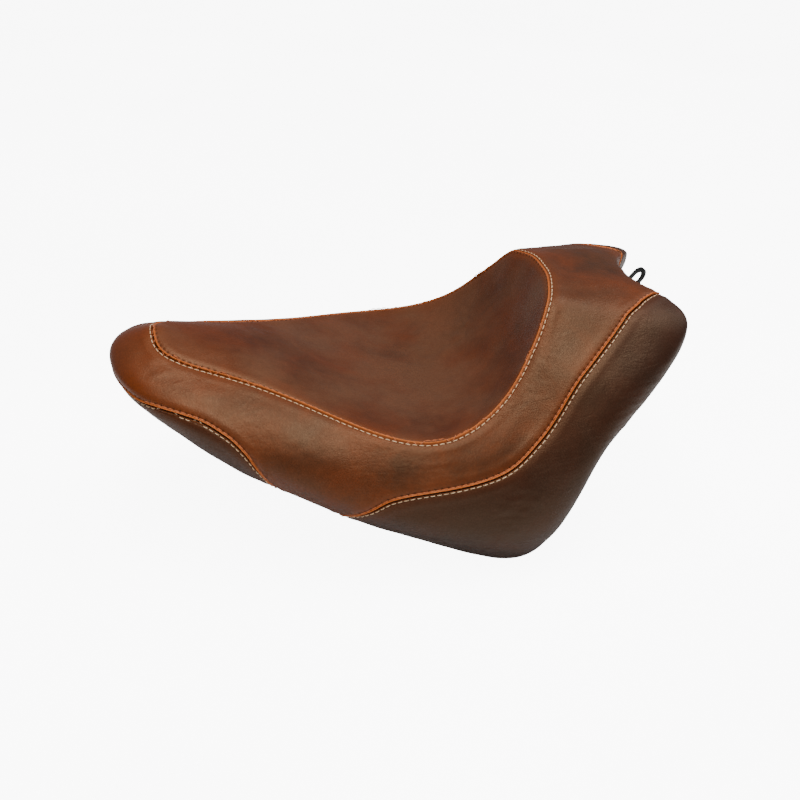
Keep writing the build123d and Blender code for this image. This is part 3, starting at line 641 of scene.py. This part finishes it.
def make_cover():
    """The five panels of the cover."""
    ring = even_columns(-LAST, LAST, 0.3, closed=True)
    surround = side_panel(
        "cover_surround", ring, np.zeros(len(ring)), surround_bottom(ring),
        [(INSERT_LINE, False), (CHIN_LINE, True), (LEFT_LINE, True), (RIGHT_LINE, True)],
        middle_rows=30, seed=1, closed=True, low_seam=True)
    tip = CHIN_SEAM[-1, 0] - 0.01
    chin_k = even_columns(-tip, tip, 0.8)
    chin = side_panel("cover_chin", chin_k, seam_t(CHIN_SEAM, chin_k), np.ones(len(chin_k)),
                      [(CHIN_LINE, False)], middle_rows=14, seed=2)
    panels = [make_insert(), surround, chin]
    skirt_k = even_columns(SKIRT_SEAM[0, 0] + 0.01, SKIRT_SEAM[-1, 0] - 0.01, 0.7)
    for name, line, k in (("left", LEFT_LINE, skirt_k), ("right", RIGHT_LINE, -skirt_k[::-1])):
        panels.append(side_panel(f"cover_{name}_skirt", k, seam_t(SKIRT_SEAM, k), np.ones(len(k)),
                                 [(line, False)], middle_rows=48, seed=4 + (name == "right")))
    return panels


# ---- stitches -----------------------------------------------------------------------------------
STITCH_SEGMENTS = 8
STITCH_SIDES = 8
STITCH_REACH = 0.004            # metres above and below the seam where the panel is looked for
STITCH_STRAY = 0.00008          # metres that a stitch's end is off its line
SMOOTH_PLACE = 8.0              # distance from a seam where the leather lies flat again
END_ROOM = 0.6                  # the first and last holes keep this far from a seam's ends
TANGENT_STEP = 1.0
STITCH_RISE = 2.6               # a stitch's arch, in radii of its thread: how high it rises,
STITCH_SINK = 1.75              # how deep its ends start,
STITCH_SQUARE = 0.4             # and how suddenly it levels out
STITCH_NECK = 0.72              # girth at its ends, as a share of the girth at its middle
STITCH_WIDE = 1.12              # the thread is pressed a little flat
STITCH_HIGH = 0.9
BRONZE_COVER = 0.92             # share of the pitch that each thread covers
CREAM_COVER = 0.80


def stitch_tube(start, end, up, radius, points, faces, coords):
    """One stitch: a thread that comes up out of one hole, lies on the leather and dives into the next."""
    along = end - start
    length = along.length
    along.normalize()
    side = along.cross(up).normalized()
    up = side.cross(along)
    base = len(points)
    for i in range(STITCH_SEGMENTS + 1):
        u = i / STITCH_SEGMENTS
        lift = radius * (STITCH_RISE * math.sin(math.pi * u) ** STITCH_SQUARE - STITCH_SINK)
        centre = start.lerp(end, u) + up * lift
        girth = radius * (STITCH_NECK + (1 - STITCH_NECK) * math.sin(math.pi * u) ** 0.5)
        for j in range(STITCH_SIDES):
            angle = 2 * math.pi * j / STITCH_SIDES
            out = side * math.cos(angle) * STITCH_WIDE + up * math.sin(angle) * STITCH_HIGH
            points.append(centre + out * girth)
            coords.append((u * length * 1000, j / STITCH_SIDES))
    for i in range(STITCH_SEGMENTS):
        for j in range(STITCH_SIDES):
            n = (j + 1) % STITCH_SIDES
            row = base + i * STITCH_SIDES
            faces.append((row + j, row + n, row + STITCH_SIDES + n, row + STITCH_SIDES + j))
    last = base + STITCH_SEGMENTS * STITCH_SIDES
    faces.append(tuple(base + j for j in reversed(range(STITCH_SIDES))))
    faces.append(tuple(last + j for j in range(STITCH_SIDES)))


def surface_tree(piece):
    """The panel's outside, without the edges that are turned in."""
    mesh = piece.data
    turned = [value.value > 0 for value in mesh.attributes["turned"].data]
    faces = [p.vertices for p in mesh.polygons if not any(turned[i] for i in p.vertices)]
    return BVHTree.FromPolygons([v.co for v in mesh.vertices], faces)


def beside(tree, here, across, distance):
    """The point at that distance to one side or the other that lies on the panel, and its normal."""
    found = []
    for sign in (1, -1):
        guess = here + across * sign * distance / 1000
        place, normal, _, gap = tree.find_nearest(guess)
        found.append((gap, guess, normal))
    return min(found, key=lambda item: item[0])[1:]


def stitch_row(name, seam, tree, offset, cover_share, seed):
    """A row of stitches on a panel, a fixed distance from its seam."""
    random = np.random.default_rng(seed)
    points, faces, coords = [], [], []
    holes = []
    for i in range(seam.count + (0 if seam.closed else 1)):
        along = min(max(i * seam.pitch, END_ROOM), seam.length - END_ROOM)
        here = Vector(to_frame(seam.at(along)))
        ahead = Vector(to_frame(seam.at(min(along + TANGENT_STEP, seam.length - SEAM_STEP))))
        behind = Vector(to_frame(seam.at(max(along - TANGENT_STEP, 0.0))))
        tangent = (ahead - behind).normalized()
        up = tree.find_nearest(here)[1]
        for _ in range(3):
            up = beside(tree, here, tangent.cross(up).normalized(), SMOOTH_PLACE)[1]
        hole = beside(tree, here, tangent.cross(up).normalized(), offset)[0]
        holes.append((hole, up))
    pairs = list(zip(holes, holes[1:]))
    if seam.closed:
        pairs.append((holes[-1], holes[0]))
    for (start, up_start), (end, up_end) in pairs:
        gap = (1 - cover_share) / 2
        first = start.lerp(end, gap)
        second = end.lerp(start, gap)
        up = (up_start + up_end).normalized()
        side = (second - first).cross(up).normalized()
        first = first + side * random.normal(0, STITCH_STRAY)
        second = second + side * random.normal(0, STITCH_STRAY)
        middle = (first + second) / 2
        level = tree.ray_cast(middle + up * STITCH_REACH, -up, 2 * STITCH_REACH)[0]
        if level is None:
            level = tree.find_nearest(middle)[0]
        first += up * (level - first).dot(up)
        second += up * (level - second).dot(up)
        stitch_tube(first, second, up, THREAD / 2000, points, faces, coords)
    piece = new_object(name, np.array(points), faces)[0]
    layer = piece.data.uv_layers.new(name="thread")
    for loop in piece.data.loops:
        layer.data[loop.index].uv = coords[loop.vertex_index]
    return piece


def make_stitches(panels):
    """Two rows along each seam: bronze thread on the folded side and cream thread on the other."""
    insert, surround, chin, left, right = [surface_tree(p) for p in panels]
    rows = []
    for seam, proud, tucked in ((INSERT_LINE, insert, surround), (CHIN_LINE, surround, chin),
                                (LEFT_LINE, surround, left), (RIGHT_LINE, surround, right)):
        bronze = stitch_row(f"{seam.name}_bronze_stitches", seam, proud, PROUD_ROW, BRONZE_COVER, 11)
        cream = stitch_row(f"{seam.name}_cream_stitches", seam, tucked, TUCKED_ROW, CREAM_COVER, 12)
        rows += [(bronze, True), (cream, False)]
    return rows


# ---- foam and felt ------------------------------------------------------------------------------
def remeshed_copy(name, node, voxel):
    """A new piece with an even mesh, from a CAD solid."""
    shaped = bmesh.new()
    shaped.from_mesh(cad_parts[node].data)
    bmesh.ops.remove_doubles(shaped, verts=shaped.verts, dist=1e-6)
    mesh = bpy.data.meshes.new(name)
    shaped.to_mesh(mesh)
    shaped.free()
    piece = bpy.data.objects.new(name, mesh)
    bpy.context.scene.collection.objects.link(piece)
    remesh = piece.modifiers.new("even", "REMESH")
    remesh.mode = "VOXEL"
    remesh.voxel_size = voxel
    remesh.use_smooth_shade = True
    graph = bpy.context.evaluated_depsgraph_get()
    piece.data = bpy.data.meshes.new_from_object(piece.evaluated_get(graph))
    piece.modifiers.clear()
    return piece


def pocket_lift(s, y):
    """Room in the foam's underside for the nuts that hold the rear tab."""
    distance = np.maximum(np.abs(s - POCKET_S) - POCKET_HALF_LENGTH, np.abs(y) - POCKET_HALF_WIDTH)
    return POCKET_HIGH * np.clip(1 - distance / POCKET_SLOPE, 0, 1)


def make_foam():
    """The moulded foam, just inside the cover and just above the pan."""
    k = even_columns(-LAST, LAST, 0.3, closed=True)[::FOAM_COLUMN]
    top = insert_surface(k[:, None], np.linspace(0, 1, FOAM_TOP_ROWS)[None, :-1])
    side = skin(k[:, None], np.linspace(*FOAM_SIDE, FOAM_SIDE_ROWS)[None, :])
    outside = to_frame(np.concatenate([top, side], 1))
    normals = grid_normals(outside, True)
    normals[:, 0] = UP
    outside = outside - normals * FOAM_INSET / 1000
    station = np.abs(k)
    rim = to_side(station_values(station)[..., 3:6] - outward(station) * FOAM_EDGE, k)
    middle = np.clip(rim[:, 0], SPINE[0], UNDER_SPINE_END)
    share = np.linspace(1, 0, FOAM_UNDER_ROWS)
    s = middle[:, None] + (rim[:, 0] - middle)[:, None] * share
    y = rim[:, 1][:, None] * share
    underside = np.stack([s, y, under_height(s, y, -FOAM_LIFT) + pocket_lift(s, y)], -1)
    whole = np.concatenate([outside, to_frame(underside)], 1)
    faces = grid_faces(whole.shape[0], whole.shape[1], True)
    return new_object("foam_cushion", whole.reshape(-1, 3), faces)[0]


FELT_VOXEL = 0.0014
TUFT_SIZE = 0.004
TUFT_HEIGHT = 0.00025


def make_felt():
    felt = remeshed_copy("felt_liner", "fender_liner", FELT_VOXEL)
    for vertex in felt.data.vertices:
        vertex.co += vertex.normal * noise.noise(vertex.co / TUFT_SIZE) * TUFT_HEIGHT
    return felt


# ---- materials ----------------------------------------------------------------------------------
def rgb(red, green, blue):
    """A colour as it looks on a screen, from 0 to 255, made linear."""
    values = [c / 255 for c in (red, green, blue)]
    return tuple(c / 12.92 if c <= 0.04045 else ((c + 0.055) / 1.055) ** 2.4 for c in values) + (1.0,)


class Recipe:
    """One material's nodes, with short ways to add and join them."""

    def __init__(self, name):
        self.material = bpy.data.materials.new(name)
        self.material.use_nodes = True
        self.nodes = self.material.node_tree.nodes
        self.links = self.material.node_tree.links
        self.shader = self.nodes["Principled BSDF"]
        self.here = self.nodes.new("ShaderNodeTexCoord").outputs["Object"]

    def feed(self, socket, value):
        if isinstance(value, bpy.types.NodeSocket):
            self.links.new(value, socket)
        else:
            socket.default_value = value

    def add(self, kind, settings=(), **inputs):
        node = self.nodes.new(kind)
        for name, value in dict(settings).items():
            setattr(node, name, value)
        for name, value in inputs.items():
            self.feed(node.inputs[name], value)
        return node

    def noise(self, scale, detail=4.0, rough=0.55, stretch=None, distort=0.0, shift=(0, 0, 0)):
        place = self.here
        if stretch or any(shift):
            place = self.add("ShaderNodeMapping", Vector=place, Location=shift,
                             Scale=stretch or (1, 1, 1)).outputs[0]
        return self.add("ShaderNodeTexNoise", Vector=place, Scale=scale, Detail=detail,
                        Roughness=rough, Distortion=distort).outputs[0]

    def cells(self, scale, feature="F1", random=1.0):
        return self.add("ShaderNodeTexVoronoi", {"feature": feature}, Vector=self.here, Scale=scale,
                        Randomness=random).outputs["Distance"]

    def math(self, operation, first, second=0.0):
        node = self.nodes.new("ShaderNodeMath")
        node.operation = operation
        self.feed(node.inputs[0], first)
        self.feed(node.inputs[1], second)
        return node.outputs[0]

    def spread(self, value, low, high, to_low=0.0, to_high=1.0):
        node = self.nodes.new("ShaderNodeMapRange")
        for socket, given in zip(node.inputs, (value, low, high, to_low, to_high)):
            self.feed(socket, given)
        return node.outputs[0]

    def mix(self, share, first, second):
        node = self.nodes.new("ShaderNodeMix")
        node.data_type = "RGBA"
        self.feed(node.inputs[0], share)
        self.feed(node.inputs[6], first)
        self.feed(node.inputs[7], second)
        return node.outputs[2]

    def mark(self, name):
        return self.add("ShaderNodeAttribute", {"attribute_name": name}).outputs["Fac"]

    def bump(self, height, strength, distance, below=None):
        node = self.add("ShaderNodeBump", Height=height, Strength=strength, Distance=distance)
        if below is not None:
            self.links.new(below, node.inputs["Normal"])
        return node.outputs[0]

    def set(self, **values):
        for name, value in values.items():
            self.feed(self.shader.inputs[name.replace("_", " ")], value)
        return self.material


def leather(name, deep, body, warm_tone, painted_sheen, painted_sheen_share):
    """Distressed, waxed brown vinyl: mottled, worn orange on its folds, dark in its seams with grime and
    painted shade, and with a painted grey sheen in patches.
    """
    r = Recipe(name)
    large = r.noise(11.0, 5.0, 0.6, distort=0.4)
    medium = r.noise(46.0, 6.0, 0.65, distort=0.8)
    fine = r.noise(310.0, 5.0, 0.7)
    tone = r.math("ADD", r.math("MULTIPLY", large, 0.55), r.math("MULTIPLY", medium, 0.45))
    colour = r.mix(r.spread(tone, 0.36, 0.64), deep, body)
    blotch = r.noise(17.0, 6.0, 0.6, distort=0.6, shift=(3.1, 1.7, 0.4))
    heat = r.math("ADD", r.mark("warm"), r.spread(blotch, 0.45, 0.70, 0.0, 0.65))
    colour = r.mix(r.math("MINIMUM", heat, 1.0), colour, warm_tone)
    # Painted sheen: a grey haze is mixed into the colour in soft patches, more on the insert than
    # elsewhere.
    sheen_cloud = r.noise(8.0, 4.0, 0.6, shift=(0.6, 2.2, 5.0))
    colour = r.mix(r.spread(sheen_cloud, 0.42, 0.62, 0.0, painted_sheen_share), colour, painted_sheen)
    colour = r.mix(r.spread(fine, 0.35, 0.75, 0.0, 0.35), colour, deep)
    scuff = r.noise(90.0, 8.0, 0.75, stretch=(1, 1, 2.6), shift=(1.2, 0, 0))
    colour = r.mix(r.spread(scuff, 0.60, 0.78, 0.0, 0.35), colour, warm_tone)
    colour = r.mix(r.math("MINIMUM", r.mark("worn"), 1.0), colour, rgb(176, 88, 34))
    # Darkens the seams' grooves and stitch holes: partly grime, partly painted shade.
    colour = r.mix(r.math("MINIMUM", r.mark("dark"), 0.92), colour, rgb(14, 7, 4))
    rough = r.spread(r.math("ADD", r.math("MULTIPLY", medium, 0.5), r.math("MULTIPLY", fine, 0.5)),
                     0.3, 0.7, 0.37, 0.53)
    rough = r.math("ADD", rough, r.math("MULTIPLY", r.mark("dark"), 0.25))
    grain = r.math("SUBTRACT", r.cells(620.0, "SMOOTH_F1"), r.math("MULTIPLY", fine, 0.6))
    crease = r.noise(150.0, 6.0, 0.7, stretch=(0.45, 0.6, 1.7), distort=1.2)
    patch = r.spread(r.noise(14.0, 2.0, 0.5, shift=(4.0, 0.3, 1.9)), 0.46, 0.62)
    normal = r.bump(grain, 0.35, 0.00035)
    normal = r.bump(r.math("MULTIPLY", crease, patch), 0.55, 0.0011, normal)
    return r.set(Base_Color=colour, Roughness=rough, Normal=normal, IOR=1.5, Specular_IOR_Level=0.40,
                 Specular_Tint=rgb(255, 214, 168))


def thread_finish(name, light, shade):
    """Twisted bonded thread: slanting plies that catch the light, painted shade in the grooves between
    them, and soil in patches.
    """
    r = Recipe(name)
    place = r.nodes.new("ShaderNodeUVMap")
    place.uv_map = "thread"
    turned = r.add("ShaderNodeMapping", Vector=place.outputs[0], Scale=(1.1, 3.0, 1.0))
    plies = r.add("ShaderNodeTexWave", {"bands_direction": "DIAGONAL"}, Vector=turned.outputs[0],
                  Scale=0.5, Distortion=0.3, Detail=1.0).outputs["Fac"]
    soil = r.spread(r.noise(240.0, 4.0, 0.6), 0.35, 0.7, 0.0, 0.5)
    # The shade colour is painted shade in the grooves between the plies, and soil where the soil noise is
    # high.
    colour = r.mix(r.math("MAXIMUM", r.spread(plies, 0.0, 0.45, 0.55, 0.0), soil), light, shade)
    return r.set(Base_Color=colour, Roughness=0.62, Normal=r.bump(plies, 0.6, 0.00012),
                 Sheen_Weight=0.25, Sheen_Roughness=0.4)


def powder_coat(name, colour, dust, rough=0.42):
    """Black powder coat with fine orange peel, dust in patches and light scratches."""
    r = Recipe(name)
    peel = r.noise(620.0, 3.0, 0.5)
    slow = r.noise(26.0, 5.0, 0.6)
    scratch = r.noise(160.0, 4.0, 0.6, stretch=(0.12, 1.0, 1.0))
    tint = r.mix(r.spread(slow, 0.42, 0.72, 0.0, 0.45), colour, dust)
    tint = r.mix(r.spread(scratch, 0.68, 0.80, 0.0, 0.35), tint, rgb(92, 92, 90))
    roughness = r.spread(r.math("ADD", peel, slow), 0.7, 1.3, rough - 0.06, rough + 0.12)
    return r.set(Base_Color=tint, Roughness=roughness, Normal=r.bump(peel, 0.30, 0.0003))


def plated(name, light, dull, rough, metallic=1.0):
    """Bare or plated metal, brushed and a little tarnished."""
    r = Recipe(name)
    slow = r.noise(90.0, 5.0, 0.65)
    brushed = r.noise(900.0, 3.0, 0.6, stretch=(0.08, 1.0, 1.0))
    colour = r.mix(r.spread(slow, 0.40, 0.68, 0.0, 0.8), light, dull)
    roughness = r.spread(r.math("ADD", slow, brushed), 0.7, 1.3, rough - 0.08, rough + 0.16)
    return r.set(Base_Color=colour, Roughness=roughness, Metallic=metallic,
                 Normal=r.bump(brushed, 0.15, 0.00008))


def moulded_rubber(name):
    r = Recipe(name)
    slow = r.noise(70.0, 5.0, 0.6)
    fine = r.noise(900.0, 3.0, 0.6)
    colour = r.mix(r.spread(slow, 0.42, 0.70, 0.0, 0.7), rgb(24, 24, 24), rgb(58, 56, 53))
    roughness = r.spread(fine, 0.3, 0.7, 0.62, 0.82)
    return r.set(Base_Color=colour, Roughness=roughness, Normal=r.bump(fine, 0.35, 0.0002))


def open_cell_foam(name):
    r = Recipe(name)
    cell = r.cells(520.0)
    slow = r.noise(16.0, 4.0, 0.6)
    colour = r.mix(r.spread(slow, 0.40, 0.66), rgb(214, 196, 146), rgb(186, 160, 104))
    # Painted shade: the colour darkens in the pores, where the bump sinks.
    colour = r.mix(r.spread(cell, 0.0, 0.45, 0.45, 0.0), colour, rgb(112, 92, 58))
    return r.set(Base_Color=colour, Roughness=0.9, Normal=r.bump(cell, 0.6, 0.0008))


def pressed_felt(name):
    r = Recipe(name)
    fibre = r.noise(480.0, 8.0, 0.8, distort=1.6)
    slow = r.noise(30.0, 4.0, 0.6)
    colour = r.mix(r.spread(fibre, 0.35, 0.65), rgb(38, 38, 40), rgb(84, 83, 84))
    colour = r.mix(r.spread(slow, 0.45, 0.7, 0.0, 0.4), colour, rgb(66, 60, 54))
    return r.set(Base_Color=colour, Roughness=0.95, Normal=r.bump(fibre, 0.8, 0.0009),
                 Sheen_Weight=0.4, Sheen_Roughness=0.6)


def give(piece, material):
    """The material on every slot of the piece, which has at least one."""
    if not piece.data.materials:
        piece.data.materials.append(material)
    for spot in piece.material_slots:
        spot.material = material


# ---- the object ---------------------------------------------------------------------------------
COVER_NODES = {
    "cover_insert": ["insert_panel"],
    "cover_surround": ["surround_panel", "cover_hem"],
    "cover_chin": ["chin_panel"],
    "cover_left_skirt": ["left_skirt"],
    "cover_right_skirt": ["right_skirt"],
}


def build_seat():
    panels = make_cover()
    insert_skin = leather("insert_leather", rgb(56, 23, 10), rgb(82, 39, 20), rgb(96, 41, 17),
                          rgb(92, 62, 44), 0.60)
    bolster_skin = leather("bolster_leather", rgb(44, 18, 7), rgb(76, 34, 14), rgb(100, 42, 14),
                           rgb(76, 48, 33), 0.30)
    # The skirt leather, used for the chin as well, is far darker than the rest: partly the panels' own
    # tone, partly painted shade on the low sides.
    skirt_skin = leather("skirt_leather", rgb(30, 12, 7), rgb(43, 18, 11), rgb(57, 23, 12),
                         rgb(46, 27, 21), 0.30)
    for panel, skin_finish in zip(panels, (insert_skin, bolster_skin, skirt_skin, skirt_skin, skirt_skin)):
        give(panel, skin_finish)
        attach(panel, "root")
        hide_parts(*COVER_NODES[panel.name])
    bronze = thread_finish("bronze_thread", rgb(190, 100, 46), rgb(128, 62, 28))
    cream = thread_finish("cream_thread", rgb(222, 192, 152), rgb(160, 122, 84))
    for row, proud in make_stitches(panels):
        give(row, bronze if proud else cream)
        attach(row, "root")
    foam = make_foam()
    give(foam, open_cell_foam("moulded_foam"))
    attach(foam, "root")
    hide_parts("foam_core")
    felt = make_felt()
    give(felt, pressed_felt("grey_felt"))
    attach(felt, "root")
    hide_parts("fender_liner")
    for panel in panels:
        thicken(panel)


def dress_hardware():
    """Better materials on the CAD nodes that stay as they are."""
    pan = powder_coat("pan_powder_coat", rgb(20, 20, 21), rgb(52, 48, 43))
    tab = powder_coat("tab_powder_coat", rgb(14, 17, 16), rgb(34, 38, 36), 0.36)
    zinc = plated("zinc_plate", rgb(196, 200, 204), rgb(142, 140, 130), 0.34)
    rivet = plated("rivet_aluminium", rgb(206, 207, 208), rgb(160, 160, 160), 0.38)
    rubber = moulded_rubber("black_rubber")
    finishes = {
        "base_pan": pan, "front_strap": pan, "middle_strap": pan, "front_tongue": tab, "rear_tab": tab,
        "tab_spacer": rubber, "tab_backing_plate": zinc, "tab_screws": zinc, "tab_washers": zinc,
        "tab_nuts": zinc, "tongue_rivets": rivet, "cover_rivets": rivet, "bumper_rivets": rivet,
        "drain_grommets": rubber}
    for name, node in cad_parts.items():
        finish = rubber if name.endswith("_bumper") else finishes.get(name)
        if finish:
            give(node, finish)


# ---- studio -------------------------------------------------------------------------------------
CAMERA_TARGET = Vector(to_frame(np.array([287.65, 0.0, 0.0])))
CAMERA_PLACE = Vector(to_frame(np.array([77.35, 1081.8, 610.9])))
LENS = 54.0
FLOOR_GAP = 0.002
FLOOR_REACH = 6.0
PAPER_GLOW = 9.0                # makes the paper and the room white to the camera without lighting the seat
ROOM_LIGHT = 0.24
SOFTBOXES = (                   # name, place, whether it is turned to the seat, width, length and power
    ("nose_strip", (0.42, 0.50, 1.42), False, 0.42, 1.5, 28.0),
    ("rear_strip", (-0.45, 0.00, 1.42), False, 0.50, 0.9, 14.0),
    ("front_box", (0.5, 1.6, 0.9), True, 1.4, 1.0, 3.5),
    ("rear_box", (-1.2, -0.3, 1.0), True, 1.1, 1.1, 6.0),
)


def make_studio():
    low, high = CAD_BOX
    middle = (low + high) / 2
    floor_height = low.z - FLOOR_GAP
    corners = [(x * FLOOR_REACH + middle.x, y * FLOOR_REACH + middle.y, floor_height)
               for x, y in ((-1, -1), (1, -1), (1, 1), (-1, 1))]
    mesh = bpy.data.meshes.new("studio_floor")
    mesh.from_pydata(corners, [], [(0, 1, 2, 3)])
    floor = bpy.data.objects.new("studio_floor", mesh)
    bpy.context.scene.collection.objects.link(floor)
    paper = Recipe("white_paper")
    shade = paper.mix(paper.spread(paper.noise(2.0, 2.0), 0.3, 0.7), rgb(246, 246, 246), rgb(251, 251, 251))
    ray = paper.nodes.new("ShaderNodeLightPath")
    glow = paper.math("MULTIPLY", ray.outputs["Is Camera Ray"], PAPER_GLOW)
    paper.set(Base_Color=shade, Roughness=0.9, Emission_Color=shade, Emission_Strength=glow)
    one_way = paper.nodes.new("ShaderNodeMixShader")
    paper.links.new(paper.nodes.new("ShaderNodeNewGeometry").outputs["Backfacing"], one_way.inputs[0])
    paper.links.new(paper.shader.outputs[0], one_way.inputs[1])
    paper.links.new(paper.nodes.new("ShaderNodeBsdfTransparent").outputs[0], one_way.inputs[2])
    paper.links.new(one_way.outputs[0], paper.nodes["Material Output"].inputs["Surface"])
    give(floor, paper.material)

    world = bpy.data.worlds.new("white_room")
    world.use_nodes = True
    background = world.node_tree.nodes["Background"]
    background.inputs["Color"].default_value = (1.0, 1.0, 1.0, 1.0)
    nodes = world.node_tree.nodes
    strength = nodes.new("ShaderNodeMath")
    strength.operation = "MULTIPLY_ADD"
    world.node_tree.links.new(nodes.new("ShaderNodeLightPath").outputs["Is Camera Ray"], strength.inputs[0])
    strength.inputs[1].default_value = PAPER_GLOW
    strength.inputs[2].default_value = ROOM_LIGHT
    world.node_tree.links.new(strength.outputs[0], background.inputs["Strength"])
    bpy.context.scene.world = world

    for name, place, turned, width, length, power in SOFTBOXES:
        data = bpy.data.lights.new(name, "AREA")
        data.shape = "RECTANGLE"
        data.size = width
        data.size_y = length
        data.energy = power
        lamp = bpy.data.objects.new(name, data)
        bpy.context.scene.collection.objects.link(lamp)
        lamp.location = place
        lamp.rotation_mode = "QUATERNION"
        if turned:
            lamp.rotation_quaternion = (middle - Vector(place)).to_track_quat("-Z", "Y")

    data = bpy.data.cameras.new("camera")
    data.lens = LENS
    data.sensor_width = 36.0
    camera = bpy.data.objects.new("camera", data)
    bpy.context.scene.collection.objects.link(camera)
    camera.location = CAMERA_PLACE
    camera.rotation_mode = "QUATERNION"
    camera.rotation_quaternion = (CAMERA_TARGET - CAMERA_PLACE).to_track_quat("-Z", "Y")
    bpy.context.scene.camera = camera


make_studio()
build_seat()
dress_hardware()
